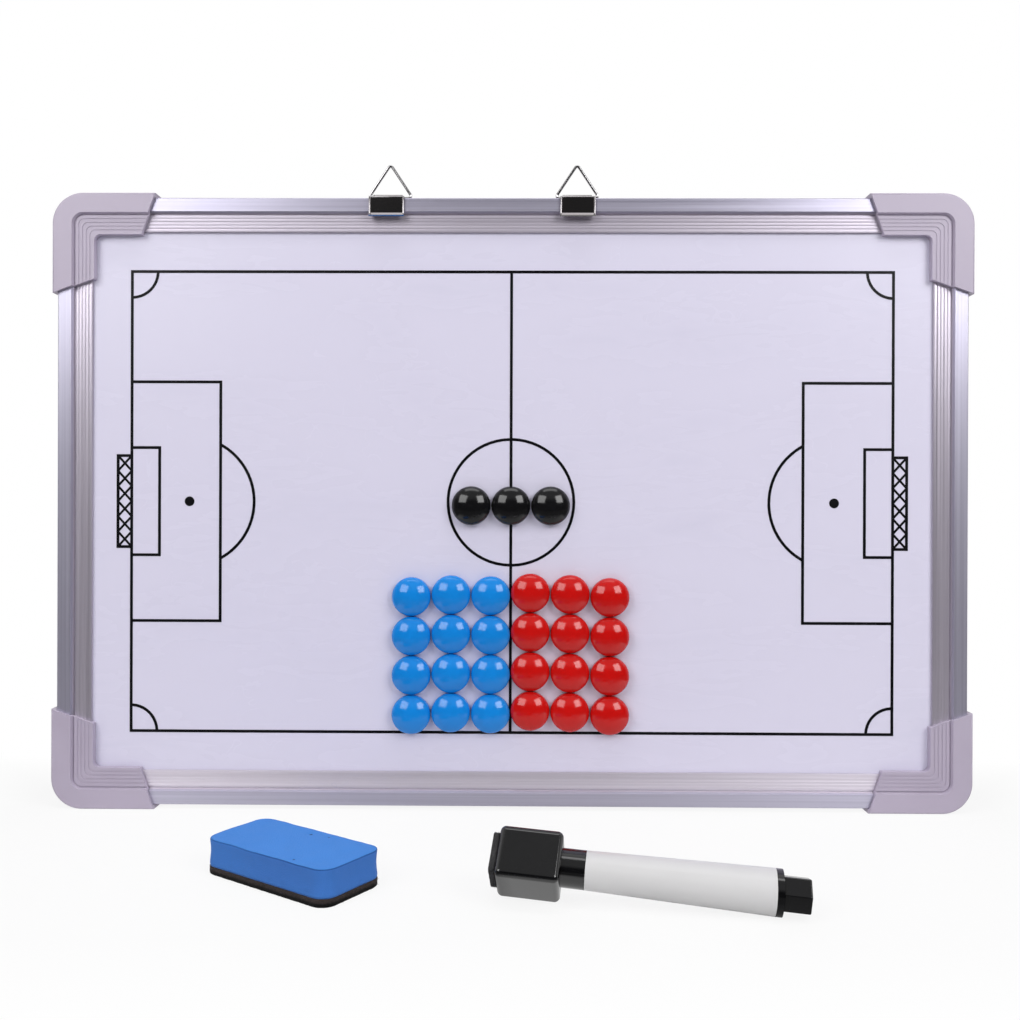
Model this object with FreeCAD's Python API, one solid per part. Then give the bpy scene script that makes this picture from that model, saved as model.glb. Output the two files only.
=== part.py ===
import FreeCAD, Part
import math
import os

# Magnetic tactics board with its counters, eraser and marker.
# Millimetres, +Z up, +Y away from the reader; the board stands on the floor plane Z = 0.

Vector = FreeCAD.Vector
X_AXIS = Vector(1, 0, 0)
Y_AXIS = Vector(0, 1, 0)
Z_AXIS = Vector(0, 0, 1)

# Board
BOARD_WIDTH = 450.0
BOARD_HEIGHT = 302.0
RAIL_FRONT_Y = 58.8

# Panel, from the written face to the back
FACE_SHEET = 0.5
CORE = 7.2
BACK_SHEET = 0.3
PANEL_CLEARANCE = 0.1
PANEL_EDGE_GAP = 0.8

# Rails
RAIL_FACE = 16.4
RAIL_WALL = 1.3
RAIL_CHAMBER = 4.6
RAIL_BAND = 6.6
RAIL_STEP_RUN = 1.0
RAIL_STEP_DROP = 2.0
RAIL_STEP_GROOVE = 0.6
RAIL_STEP_GROOVE_DEPTH = 0.5
RAIL_LIP = 1.2
RAIL_BACK_LIP = 5.4
RAIL_RIDGES = 5
RAIL_RIDGE_RISE = 0.1
RAIL_EDGE_ROUND = 0.6
RAIL_END_GAP = 0.3

# Corner caps
CAP_WALL = 1.8
CAP_CLEARANCE = 0.2
CAP_FACE = 20.0
CAP_BAND = 9.6
CAP_STEP_RUN = 0.6
CAP_STEP_DROP = 1.6
CAP_STEP_GROOVE = 0.6
CAP_STEP_GROOVE_DEPTH = 0.5
CAP_BACK_FACE = 15.5
CAP_GROOVES = 4
CAP_GROOVE = 0.7
CAP_GROOVE_DEPTH = 0.25
CAP_LEG_X = 50.5
CAP_LEG_Z = 49.0
CAP_END_SLANT = 20.0
CAP_CORNER_RADIUS = 15.0
CAP_INNER_RADIUS = 3.0
CAP_EDGE_ROUND = 1.0
TONGUE_LENGTH = 24.0
TONGUE_CLEARANCE = 0.15

# Screws at the back of the caps
SCREW_DIAMETER = 2.6
SCREW_LENGTH = 7.5
SCREW_HEAD_DIAMETER = 5.0
SCREW_HEAD_HEIGHT = 1.2
SCREW_CLEARANCE = 0.1
SCREW_SETBACK = 12.0
SCREW_POINT = 2.6
SCREW_POINT_DIAMETER = 0.6
SCREW_SLOT = 0.7
SCREW_SLOT_LENGTH = 3.0
SCREW_SLOT_DEPTH = 0.7

# Printed pitch
PRINT_FILM = 0.1
PRINT_LINE = 1.4
NET_LINE = 1.1
PITCH_LENGTH = 375.0
PITCH_WIDTH = 227.0
CENTRE_CIRCLE_RADIUS = 31.0
PENALTY_AREA_DEPTH = 44.0
PENALTY_AREA_WIDTH = 118.0
GOAL_AREA_DEPTH = 13.8
GOAL_AREA_WIDTH = 53.0
GOAL_DEPTH = 6.8
GOAL_WIDTH = 45.0
NET_CROSSES = 6
PENALTY_SPOT_DISTANCE = 28.7
PENALTY_ARC_RADIUS = 32.0
SPOT_RADIUS = 2.4
CORNER_ARC_RADIUS = 12.8

# Hangers on the top rail
CLIP_WIDTH = 17.3
CLIP_SHEET = 0.8
CLIP_CLEARANCE = 0.1
CLIP_FRONT_DROP = 7.9
CLIP_BACK_DROP = 11.0
CLIP_LIP = 1.6
CLIP_BEAD = 0.4
LEFT_CLIP_X = -61.4
RIGHT_CLIP_X = 32.3
RING_WIRE = 1.5
RING_BASE = 22.0
RING_HEIGHT = 16.6
RING_BEND = 1.1
RING_END_GAP = 1.0
RING_RUNNING_FIT = 0.1
RING_TUBE_LENGTH = 14.5
LEFT_RING_SHIFT = 1.2
RIGHT_RING_SHIFT = 0.0

# Counters
COUNTER_DIAMETER = 19.1
COUNTER_WALL_HEIGHT = 2.0
COUNTER_CROWN = 5.4
COUNTER_RIM_ROUND = 3.0
COUNTER_FOOT_ROUND = 0.4
COUNTER_COLUMN_GAP = 0.4
COUNTER_ROW_GAP = 0.2
COUNTER_ROWS = 4
COUNTER_SPACE_ABOVE = 0.56
BLUE_COLUMN_DROPS = (0.4, 0.0, 1.0)
RED_COLUMN_DROPS = (-1.0, -0.4, 1.0)
BLACK_COUNTERS = 3
BLACK_ROW_DROP = 1.7
MAGNET_DIAMETER = 15.0
MAGNET_THICKNESS = 3.0
MAGNET_CLEARANCE = 0.1

# Eraser
ERASER_LENGTH = 68.5
ERASER_WIDTH = 33.0
ERASER_FOAM = 11.1
ERASER_FELT = 3.3
ERASER_CORNER_RADIUS = 6.5
ERASER_WAIST = 0.4
ERASER_EDGE_ROUND = 0.6
ERASER_X = -86.1
ERASER_AHEAD = 88.0
ERASER_YAW = -33.9

# Marker, along its own axis from the capped end to the plug
MARKER_FRONT_DIAMETER = 14.2
MARKER_BACK_DIAMETER = 16.8
MARKER_BARREL = 69.0
MARKER_WALL = 1.4
MARKER_CAP_SIDE = 20.0
MARKER_CAP_BLOCK = 24.0
MARKER_CAP_COLLAR = 9.0
MARKER_CAP_SEAT = 0.1
MARKER_CAP_BORE = 11.6
MARKER_CAP_WALL = 2.5
MARKER_CAP_ROUND = 2.2
MARKER_CAP_FELT = 2.5
MARKER_FELT_ROUND = 1.5
MARKER_NOSE_CLEARANCE = 0.3
MARKER_NOSE_LENGTH = 14.0
MARKER_NOSE_NECK = 7.0
MARKER_NOSE_TIP = 7.0
MARKER_NOSE_SPIGOT = 8.0
MARKER_NIB_DIAMETER = 4.6
MARKER_NIB_SHOWN = 6.0
MARKER_NIB_SEAT = 14.0
MARKER_FIT = 0.1
MARKER_PLUG_RIM = 2.5
MARKER_PLUG_SPIGOT = 8.0
MARKER_PLUG_KNOB = 10.0
MARKER_PLUG_FLATS = 12.0
MARKER_PLUG_SIDES = 6
MARKER_PLUG_ROUND = 0.6
MARKER_X = 29.5
MARKER_AHEAD = 112.0
MARKER_YAW = -8.0
MARKER_ROLL = 45.0

# Depths behind the front face of the rails
CAP_COVER = CAP_WALL + CAP_CLEARANCE
LIP_BACK = RAIL_STEP_DROP + RAIL_LIP
PANEL_FRONT = LIP_BACK + PANEL_CLEARANCE
CORE_FRONT = PANEL_FRONT + FACE_SHEET
CORE_BACK = CORE_FRONT + CORE
PANEL_BACK = CORE_BACK + BACK_SHEET
BACK_LIP_FRONT = PANEL_BACK + PANEL_CLEARANCE
RAIL_DEPTH = BACK_LIP_FRONT + RAIL_WALL
CAP_FRONT = -CAP_COVER
CAP_BACK = RAIL_DEPTH + CAP_COVER

# Places across the rail, from its outer edge
CHAMBER_INNER = RAIL_WALL + RAIL_CHAMBER
CHANNEL_FLOOR = CHAMBER_INNER + RAIL_WALL
PANEL_EDGE = CHANNEL_FLOOR + PANEL_EDGE_GAP
STEP_FOOT = RAIL_BAND + RAIL_STEP_RUN
RIDGED_FROM = STEP_FOOT + RAIL_STEP_GROOVE
RAIL_END = RAIL_FACE + RAIL_END_GAP
BOARD_MIDDLE_Z = BOARD_HEIGHT / 2
RAIL_TOP_Z = BOARD_HEIGHT - CAP_COVER
PANEL_WIDTH = BOARD_WIDTH - 2 * (CAP_COVER + PANEL_EDGE)
PANEL_HEIGHT = BOARD_HEIGHT - 2 * (CAP_COVER + PANEL_EDGE)

# Hanger pivot and the marker's lie on the floor
RING_TUBE_BORE = RING_WIRE + 2 * RING_RUNNING_FIT
RING_TUBE_RADIUS = RING_TUBE_BORE / 2 + CLIP_SHEET
RING_PIVOT_Z = RAIL_TOP_Z + CLIP_CLEARANCE + RING_TUBE_RADIUS
RING_PIVOT_DEPTH = RAIL_DEPTH / 2
MARKER_RIM_PLACE = MARKER_BARREL + MARKER_PLUG_RIM
MARKER_CAP_FOOT = MARKER_CAP_COLLAR + MARKER_CAP_ROUND
MARKER_EDGE_REACH = (MARKER_CAP_SIDE / 2 - MARKER_CAP_ROUND) * (
    abs(math.cos(math.radians(MARKER_ROLL))) + abs(math.sin(math.radians(MARKER_ROLL)))
)
MARKER_TILT = math.atan2(
    MARKER_EDGE_REACH + MARKER_CAP_ROUND - MARKER_BACK_DIAMETER / 2, MARKER_CAP_FOOT + MARKER_RIM_PLACE
)
MARKER_Z = (
    MARKER_EDGE_REACH * math.cos(MARKER_TILT)
    + MARKER_CAP_ROUND
    - MARKER_CAP_FOOT * math.sin(MARKER_TILT)
)

# How far a cutter reaches past a face that it opens, and how near two lengths count as equal
THROUGH = 1.0
SAME_LENGTH = 1e-6


def board_y(depth):
    """Place along Y of a depth behind the rails' front face."""
    return RAIL_FRONT_Y + depth


def save(name, *solids):
    """Write one node: a single solid, or a group of separate solids."""
    shape = solids[0] if len(solids) == 1 else Part.makeCompound(list(solids))
    shape.exportStep(f"parts/{name}.step")


def polygon_face(points):
    """Flat face bounded by straight edges through the points."""
    return Part.Face(Part.makePolygon(list(points) + [points[0]]))


def rounded_rectangle(half_x, half_y, radius, height=0.0):
    """Closed wire in a plane of constant Z, with four corner arcs."""
    arcs = []
    for sign_x, sign_y, start in ((1, 1, 0), (-1, 1, 90), (-1, -1, 180), (1, -1, 270)):
        centre = Vector(sign_x * (half_x - radius), sign_y * (half_y - radius), height)
        circle = Part.Circle(centre, Z_AXIS, radius)
        arcs.append(Part.Arc(circle, math.radians(start), math.radians(start + 90)).toShape())
    edges = []
    for arc, following in zip(arcs, arcs[1:] + arcs[:1]):
        edges.append(arc)
        edges.append(Part.makeLine(arc.Vertexes[-1].Point, following.Vertexes[0].Point))
    return Part.Wire(edges)


def board_outline(inset, depth):
    """Rounded outline of the board, drawn in by the inset, at a depth behind the rails' front."""
    radius = max(CAP_CORNER_RADIUS - inset, CAP_INNER_RADIUS)
    wire = rounded_rectangle(BOARD_WIDTH / 2 - inset, BOARD_HEIGHT / 2 - inset, radius)
    wire.rotate(Vector(), X_AXIS, 90)
    wire.translate(Vector(0, board_y(depth), BOARD_MIDDLE_Z))
    return wire


def board_block(inset, front, back):
    """Block with the board's outline, drawn in by the inset, between two depths."""
    return Part.Face(board_outline(inset, front)).extrude(Vector(0, back - front, 0))


# Frame rails

RAIL_SIDES = {
    "top_rail": (-Z_AXIS, X_AXIS),
    "bottom_rail": (Z_AXIS, -X_AXIS),
    "left_rail": (X_AXIS, Z_AXIS),
    "right_rail": (-X_AXIS, -Z_AXIS),
}


def rail_placement(side):
    """Frame of one rail: across it, back through it, along it, from the middle of its outer edge."""
    across, along = RAIL_SIDES[side]
    reach = Vector(BOARD_WIDTH / 2 - CAP_COVER, 0, BOARD_HEIGHT / 2 - CAP_COVER)
    middle = Vector(0, board_y(0), BOARD_MIDDLE_Z)
    origin = middle - Vector(across.x * reach.x, 0, across.z * reach.z)
    matrix = FreeCAD.Matrix(
        across.x, 0, along.x, origin.x,
        across.y, 1, along.y, origin.y,
        across.z, 0, along.z, origin.z,
        0, 0, 0, 1,
    )
    return FreeCAD.Placement(matrix)


def rail_length(side):
    """Length of a rail between the elbows of its two corner caps."""
    along = RAIL_SIDES[side][1]
    overall = BOARD_WIDTH if along.x else BOARD_HEIGHT
    return overall - 2 * (CAP_COVER + RAIL_END)


def ridge_edges(start, stop):
    """Row of low arched ridges on the inner band of the rail, from the step to the lip's edge."""
    pitch = (stop - start) / RAIL_RIDGES
    edges = []
    for number in range(RAIL_RIDGES):
        left = Vector(start + number * pitch, RAIL_STEP_DROP, 0)
        right = Vector(left.x + pitch, RAIL_STEP_DROP, 0)
        crest = Vector(left.x + pitch / 2, RAIL_STEP_DROP - RAIL_RIDGE_RISE, 0)
        edges.append(Part.Arc(left, crest, right).toShape())
    return edges


def rail_section():
    """Hollow section of the rail, drawn across (X) and back (Y)."""
    round_middle = RAIL_EDGE_ROUND * (1 - math.sqrt(0.5))
    corner = Part.Arc(
        Vector(0, RAIL_EDGE_ROUND, 0),
        Vector(round_middle, round_middle, 0),
        Vector(RAIL_EDGE_ROUND, 0, 0),
    ).toShape()
    lip_edge = Vector(RAIL_FACE, RAIL_STEP_DROP, 0)
    groove_floor = RAIL_STEP_DROP + RAIL_STEP_GROOVE_DEPTH
    front = [
        Vector(RAIL_EDGE_ROUND, 0, 0),
        Vector(RAIL_BAND, 0, 0),
        Vector(STEP_FOOT, groove_floor, 0),
        Vector(RIDGED_FROM, groove_floor, 0),
        Vector(RIDGED_FROM, RAIL_STEP_DROP, 0),
    ]
    back = [
        lip_edge,
        Vector(RAIL_FACE, LIP_BACK, 0),
        Vector(CHANNEL_FLOOR, LIP_BACK, 0),
        Vector(CHANNEL_FLOOR, BACK_LIP_FRONT, 0),
        Vector(CHANNEL_FLOOR + RAIL_BACK_LIP, BACK_LIP_FRONT, 0),
        Vector(CHANNEL_FLOOR + RAIL_BACK_LIP, RAIL_DEPTH, 0),
        Vector(0, RAIL_DEPTH, 0),
        Vector(0, RAIL_EDGE_ROUND, 0),
    ]
    edges = [corner] + Part.makePolygon(front).Edges
    edges += ridge_edges(RIDGED_FROM, RAIL_FACE)
    edges += Part.makePolygon(back).Edges
    chamber = polygon_face([
        Vector(RAIL_WALL, RAIL_WALL, 0),
        Vector(CHAMBER_INNER, RAIL_WALL, 0),
        Vector(CHAMBER_INNER, RAIL_DEPTH - RAIL_WALL, 0),
        Vector(RAIL_WALL, RAIL_DEPTH - RAIL_WALL, 0),
    ])
    return Part.Face(Part.Wire(edges)).cut(chamber)


def screw_stations(side):
    """Places along a rail of its two screws."""
    reach = rail_length(side) / 2 - SCREW_SETBACK
    return (-reach, reach)


def screw_hole(side, station, diameter):
    """Round cutter along a screw's axis, from behind the cap to past the screw's point."""
    depth = SCREW_LENGTH + 2 * THROUGH
    start = Vector(RAIL_WALL + RAIL_CHAMBER / 2, CAP_BACK + THROUGH, station)
    cutter = Part.makeCylinder(diameter / 2, depth, start, -Y_AXIS)
    cutter.Placement = rail_placement(side) * cutter.Placement
    return cutter


def make_rail(side):
    """One rail with its chamber, panel channel, ridges and two screw holes."""
    length = rail_length(side)
    rail = rail_section().extrude(Vector(0, 0, length))
    rail.translate(Vector(0, 0, -length / 2))
    rail.Placement = rail_placement(side) * rail.Placement
    hole = SCREW_DIAMETER + 2 * SCREW_CLEARANCE
    return rail.cut([screw_hole(side, station, hole) for station in screw_stations(side)]).Solids[0]


# Corner caps


def outline_groove(near, far, front, depth):
    """Cutter for a groove that follows the board's outline between two insets."""
    outer = board_block(near, front - THROUGH, front + depth)
    return outer.cut(board_block(far, front - THROUGH, front + depth))


def cap_ring():
    """Stepped and grooved band all round the board, from which the four caps are cut."""
    ring = board_block(0, CAP_FRONT, CAP_BACK)
    rims = [e for e in ring.Edges if abs(e.BoundBox.YMin - e.BoundBox.YMax) < CAP_CLEARANCE]
    ring = ring.makeFillet(CAP_EDGE_ROUND, rims)
    step_floor = CAP_FRONT + CAP_STEP_DROP
    step = Part.makeLoft(
        [board_outline(CAP_BAND, CAP_FRONT), board_outline(CAP_BAND + CAP_STEP_RUN, step_floor)], True
    )
    ring = ring.cut(step)
    foot = CAP_BAND + CAP_STEP_RUN
    grooved_from = foot + CAP_STEP_GROOVE
    ring = ring.cut(outline_groove(foot, grooved_from, step_floor, CAP_STEP_GROOVE_DEPTH))
    pitch = (CAP_FACE - grooved_from) / (CAP_GROOVES + 1)
    for number in range(1, CAP_GROOVES + 1):
        inset = grooved_from + number * pitch
        near, far = inset - CAP_GROOVE / 2, inset + CAP_GROOVE / 2
        ring = ring.cut(outline_groove(near, far, step_floor, CAP_GROOVE_DEPTH))
    ring = ring.cut(board_block(CAP_FACE, CAP_FRONT - THROUGH, LIP_BACK + THROUGH))
    panel_room = Part.makeBox(
        PANEL_WIDTH + 2 * CAP_CLEARANCE,
        BACK_LIP_FRONT - LIP_BACK,
        PANEL_HEIGHT + 2 * CAP_CLEARANCE,
        Vector(
            -PANEL_WIDTH / 2 - CAP_CLEARANCE,
            board_y(LIP_BACK),
            BOARD_MIDDLE_Z - PANEL_HEIGHT / 2 - CAP_CLEARANCE,
        ),
    )
    ring = ring.cut(panel_room)
    return ring.cut(board_block(CAP_BACK_FACE, BACK_LIP_FRONT - THROUGH, CAP_BACK + THROUGH))


def rail_room(side):
    """Room that a cap leaves round a rail: the rail's outline with the cap's clearance."""
    low = -CAP_CLEARANCE
    inner = RAIL_FACE + CAP_CLEARANCE
    ridge_front = RAIL_STEP_DROP - RAIL_RIDGE_RISE - CAP_CLEARANCE
    back = RAIL_DEPTH + CAP_CLEARANCE
    section = polygon_face([
        Vector(low, low, 0),
        Vector(RAIL_BAND + CAP_CLEARANCE, low, 0),
        Vector(STEP_FOOT, ridge_front, 0),
        Vector(inner, ridge_front, 0),
        Vector(inner, back, 0),
        Vector(low, back, 0),
    ])
    length = rail_length(side) + 2 * RAIL_END_GAP
    room = section.extrude(Vector(0, 0, length))
    room.translate(Vector(0, 0, -length / 2))
    room.Placement = rail_placement(side) * room.Placement
    return room


def tongue(side, sign):
    """Moulded tongue that plugs into the end of a rail's chamber and roots in the cap's elbow."""
    root = RAIL_END_GAP + THROUGH
    width = RAIL_CHAMBER - 2 * TONGUE_CLEARANCE
    depth = RAIL_DEPTH - 2 * RAIL_WALL - 2 * TONGUE_CLEARANCE
    start = rail_length(side) / 2 - TONGUE_LENGTH
    if sign < 0:
        start = -rail_length(side) / 2 - root
    corner = Vector(RAIL_WALL + TONGUE_CLEARANCE, RAIL_WALL + TONGUE_CLEARANCE, start)
    block = Part.makeBox(width, depth, TONGUE_LENGTH + root, corner)
    block.Placement = rail_placement(side) * block.Placement
    return block


def corner_region():
    """Block that bounds the top left cap, with the slanted ends of its two legs."""
    slant = math.tan(math.radians(CAP_END_SLANT))
    beyond = CAP_FACE + THROUGH
    left = -BOARD_WIDTH / 2
    outline = [
        (-THROUGH, -THROUGH),
        (CAP_LEG_X + THROUGH * slant, -THROUGH),
        (CAP_LEG_X - beyond * slant, beyond),
        (beyond, beyond),
        (beyond, CAP_LEG_Z - beyond * slant),
        (-THROUGH, CAP_LEG_Z + THROUGH * slant),
    ]
    front = board_y(CAP_FRONT - THROUGH)
    points = [Vector(left + along, front, BOARD_HEIGHT - down) for along, down in outline]
    return polygon_face(points).extrude(Vector(0, CAP_BACK - CAP_FRONT + 2 * THROUGH, 0))


def screw_solid():
    """Countersunk screw along +Z, with its head's flat top at the origin, pointing to -Z."""
    head = Part.makeCone(
        SCREW_DIAMETER / 2, SCREW_HEAD_DIAMETER / 2, SCREW_HEAD_HEIGHT, Vector(0, 0, -SCREW_HEAD_HEIGHT)
    )
    shank_length = SCREW_LENGTH - SCREW_POINT
    shank = Part.makeCylinder(SCREW_DIAMETER / 2, shank_length, Vector(0, 0, -shank_length))
    tip = Part.makeCone(
        SCREW_POINT_DIAMETER / 2, SCREW_DIAMETER / 2, SCREW_POINT, Vector(0, 0, -SCREW_LENGTH)
    )
    screw = head.fuse([shank, tip]).removeSplitter()
    corner = Vector(-SCREW_SLOT_LENGTH / 2, -SCREW_SLOT / 2, -SCREW_SLOT_DEPTH)
    for turn in (0, 90):
        slot = Part.makeBox(SCREW_SLOT_LENGTH, SCREW_SLOT, SCREW_SLOT_DEPTH + THROUGH, corner)
        slot.rotate(Vector(), Z_AXIS, turn)
        screw = screw.cut(slot)
    return screw


def screw_placement(side, station):
    """Frame of a screw's head, flush with the back of the cap."""
    turned = FreeCAD.Rotation(X_AXIS, -90)
    head = Vector(RAIL_WALL + RAIL_CHAMBER / 2, CAP_BACK, station)
    return rail_placement(side) * FreeCAD.Placement(head, turned)


def make_screws():
    """All the corner screws, two to a rail."""
    screws = []
    for side in RAIL_SIDES:
        for station in screw_stations(side):
            screw = screw_solid()
            screw.Placement = screw_placement(side, station)
            screws.append(screw)
    return screws


def make_top_left_cap():
    """Top left cap: a shell over both rails' ends, an elbow, two tongues and two screw holes."""
    cap = cap_ring().common(corner_region())
    cap = cap.cut([rail_room("top_rail"), rail_room("left_rail")])
    cap = cap.fuse([tongue("top_rail", -1), tongue("left_rail", 1)]).removeSplitter()
    stations = {"top_rail": screw_stations("top_rail")[0], "left_rail": screw_stations("left_rail")[1]}
    for side, station in stations.items():
        cap = cap.cut(screw_hole(side, station, SCREW_DIAMETER + 2 * SCREW_CLEARANCE))
        sink = Part.makeCone(
            SCREW_DIAMETER / 2 + SCREW_CLEARANCE,
            SCREW_HEAD_DIAMETER / 2 + SCREW_CLEARANCE,
            SCREW_HEAD_HEIGHT,
            Vector(0, 0, -SCREW_HEAD_HEIGHT),
        )
        sink.Placement = screw_placement(side, station)
        cap = cap.cut(sink)
    return cap.Solids[0]


def make_caps():
    """The four caps, as mirror images of the top left one."""
    middle = Vector(0, 0, BOARD_MIDDLE_Z)
    top_left = make_top_left_cap()
    top_right = top_left.mirror(middle, X_AXIS)
    return {
        "top_left_corner_cap": top_left,
        "top_right_corner_cap": top_right,
        "bottom_left_corner_cap": top_left.mirror(middle, Z_AXIS),
        "bottom_right_corner_cap": top_right.mirror(middle, Z_AXIS),
    }


# Panel


def panel_layer(front, thickness):
    """One flat layer of the panel."""
    corner = Vector(-PANEL_WIDTH / 2, board_y(front), BOARD_MIDDLE_Z - PANEL_HEIGHT / 2)
    return Part.makeBox(PANEL_WIDTH, thickness, PANEL_HEIGHT, corner)


# Printed pitch, drawn flat in X and Y about the centre spot and then stood up on the sheet


def strip(start, end, width):
    """Printed straight line with square ends that reach half a width past its points."""
    run = end - start
    bar = Part.makeBox(run.Length + width, width, PRINT_FILM, Vector(-width / 2, -width / 2, 0))
    bar.rotate(Vector(), Z_AXIS, math.degrees(math.atan2(run.y, run.x)))
    bar.translate(start)
    return bar


def outline_strips(half_x, half_y, centre_x=0.0, width=PRINT_LINE):
    """Printed rectangle."""
    corners = [
        Vector(centre_x + sign_x * half_x, sign_y * half_y, 0)
        for sign_x, sign_y in ((-1, -1), (1, -1), (1, 1), (-1, 1))
    ]
    return [strip(a, b, width) for a, b in zip(corners, corners[1:] + corners[:1])]


def arc_strip(centre, radius, start, sweep):
    """Printed arc, from a start angle through a sweep in degrees."""
    outer = Part.makeCylinder(radius + PRINT_LINE / 2, PRINT_FILM, centre, Z_AXIS, sweep)
    inner = Part.makeCylinder(radius - PRINT_LINE / 2, PRINT_FILM, centre, Z_AXIS, sweep)
    band = outer.cut(inner)
    band.rotate(centre, Z_AXIS, start)
    return band


def net_strips(goal_line, side):
    """Goal outside the goal line, with its crossed net."""
    half = GOAL_WIDTH / 2
    centre = goal_line + side * GOAL_DEPTH / 2
    strips = outline_strips(GOAL_DEPTH / 2, half, centre)
    step = GOAL_WIDTH / NET_CROSSES
    for number in range(NET_CROSSES):
        low = -half + number * step
        for near, far in ((low, low + step), (low + step, low)):
            back = Vector(goal_line + side * GOAL_DEPTH, far, 0)
            strips.append(strip(Vector(goal_line, near, 0), back, NET_LINE))
    return strips


def half_pitch(side):
    """Markings at one end of the pitch."""
    goal_line = side * PITCH_LENGTH / 2
    spot = Vector(goal_line - side * PENALTY_SPOT_DISTANCE, 0, 0)
    marks = net_strips(goal_line, side)
    for depth, width in (
        (PENALTY_AREA_DEPTH, PENALTY_AREA_WIDTH),
        (GOAL_AREA_DEPTH, GOAL_AREA_WIDTH),
    ):
        marks += outline_strips(depth / 2, width / 2, goal_line - side * depth / 2)
    reach = PENALTY_AREA_DEPTH - PENALTY_SPOT_DISTANCE
    spread = math.degrees(math.acos(reach / PENALTY_ARC_RADIUS))
    facing = 180 if side > 0 else 0
    marks.append(arc_strip(spot, PENALTY_ARC_RADIUS, facing - spread, 2 * spread))
    for touch_line, start in ((1, 270 if side < 0 else 180), (-1, 0 if side < 0 else 90)):
        corner = Vector(goal_line, touch_line * PITCH_WIDTH / 2, 0)
        marks.append(arc_strip(corner, CORNER_ARC_RADIUS, start, 90))
    return marks, spot


def make_print():
    """Thin printed film of the pitch on the face sheet."""
    left, left_spot = half_pitch(-1)
    right, right_spot = half_pitch(1)
    marks = outline_strips(PITCH_LENGTH / 2, PITCH_WIDTH / 2)
    marks.append(strip(Vector(0, -PITCH_WIDTH / 2, 0), Vector(0, PITCH_WIDTH / 2, 0), PRINT_LINE))
    marks.append(arc_strip(Vector(), CENTRE_CIRCLE_RADIUS, 0, 360))
    for spot in (Vector(), left_spot, right_spot):
        marks.append(Part.makeCylinder(SPOT_RADIUS, PRINT_FILM, spot))
    marks += left + right
    film = marks[0].fuse(marks[1:]).removeSplitter()
    film.rotate(Vector(), X_AXIS, 90)
    film.translate(Vector(0, board_y(PANEL_FRONT), BOARD_MIDDLE_Z))
    return film.Solids


# Hangers


def make_clip(x):
    """Folded sheet saddle with beaded sides, a flared lip in front and a rolled tube for the ring."""
    front = board_y(-CLIP_CLEARANCE)
    back = board_y(RAIL_DEPTH + CLIP_CLEARANCE)
    top = RAIL_TOP_Z + CLIP_CLEARANCE
    low_front = RAIL_TOP_Z - CLIP_FRONT_DROP
    low_back = RAIL_TOP_Z - CLIP_BACK_DROP
    lip_tip = Vector(0, front - CLIP_LIP, low_front - CLIP_LIP)
    lip_sheet = Vector(0, -CLIP_SHEET, CLIP_SHEET) * math.sqrt(0.5)
    lip_bend = Vector(0, front - CLIP_SHEET, low_front + CLIP_SHEET * (math.sqrt(2) - 1))
    outline = [
        Vector(0, front, top),
        Vector(0, front, low_front),
        lip_tip,
        lip_tip + lip_sheet,
        lip_bend,
        Vector(0, front - CLIP_SHEET, top + CLIP_SHEET),
        Vector(0, back + CLIP_SHEET, top + CLIP_SHEET),
        Vector(0, back + CLIP_SHEET, low_back),
        Vector(0, back, low_back),
        Vector(0, back, top),
    ]
    saddle = polygon_face(outline).extrude(Vector(CLIP_WIDTH, 0, 0))
    tube_end = Vector((CLIP_WIDTH - RING_TUBE_LENGTH) / 2, board_y(RING_PIVOT_DEPTH), RING_PIVOT_Z)
    bore_end = Vector(0, tube_end.y, tube_end.z)
    tube = Part.makeCylinder(RING_TUBE_RADIUS, RING_TUBE_LENGTH, tube_end, X_AXIS)
    bore = Part.makeCylinder(RING_TUBE_BORE / 2, CLIP_WIDTH, bore_end, X_AXIS)
    clip = saddle.fuse(tube).removeSplitter().cut(bore)
    bends = [
        e
        for e in clip.Edges
        if abs(e.BoundBox.XLength - CLIP_WIDTH) < SAME_LENGTH
        and e.BoundBox.ZMax > top + CLIP_SHEET / 2
        and (e.BoundBox.YMax < front or e.BoundBox.YMin > back)
    ]
    clip = clip.makeFillet(CLIP_SHEET, bends)
    bead_foot = lip_bend.z - CLIP_BEAD
    beads = [
        Part.makeCylinder(CLIP_BEAD, top - bead_foot, Vector(side, front - CLIP_SHEET, bead_foot))
        for side in (CLIP_BEAD, CLIP_WIDTH - CLIP_BEAD)
    ]
    clip = clip.fuse(beads).removeSplitter()
    clip.translate(Vector(x - CLIP_WIDTH / 2, 0, 0))
    return clip.Solids[0]


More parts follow.
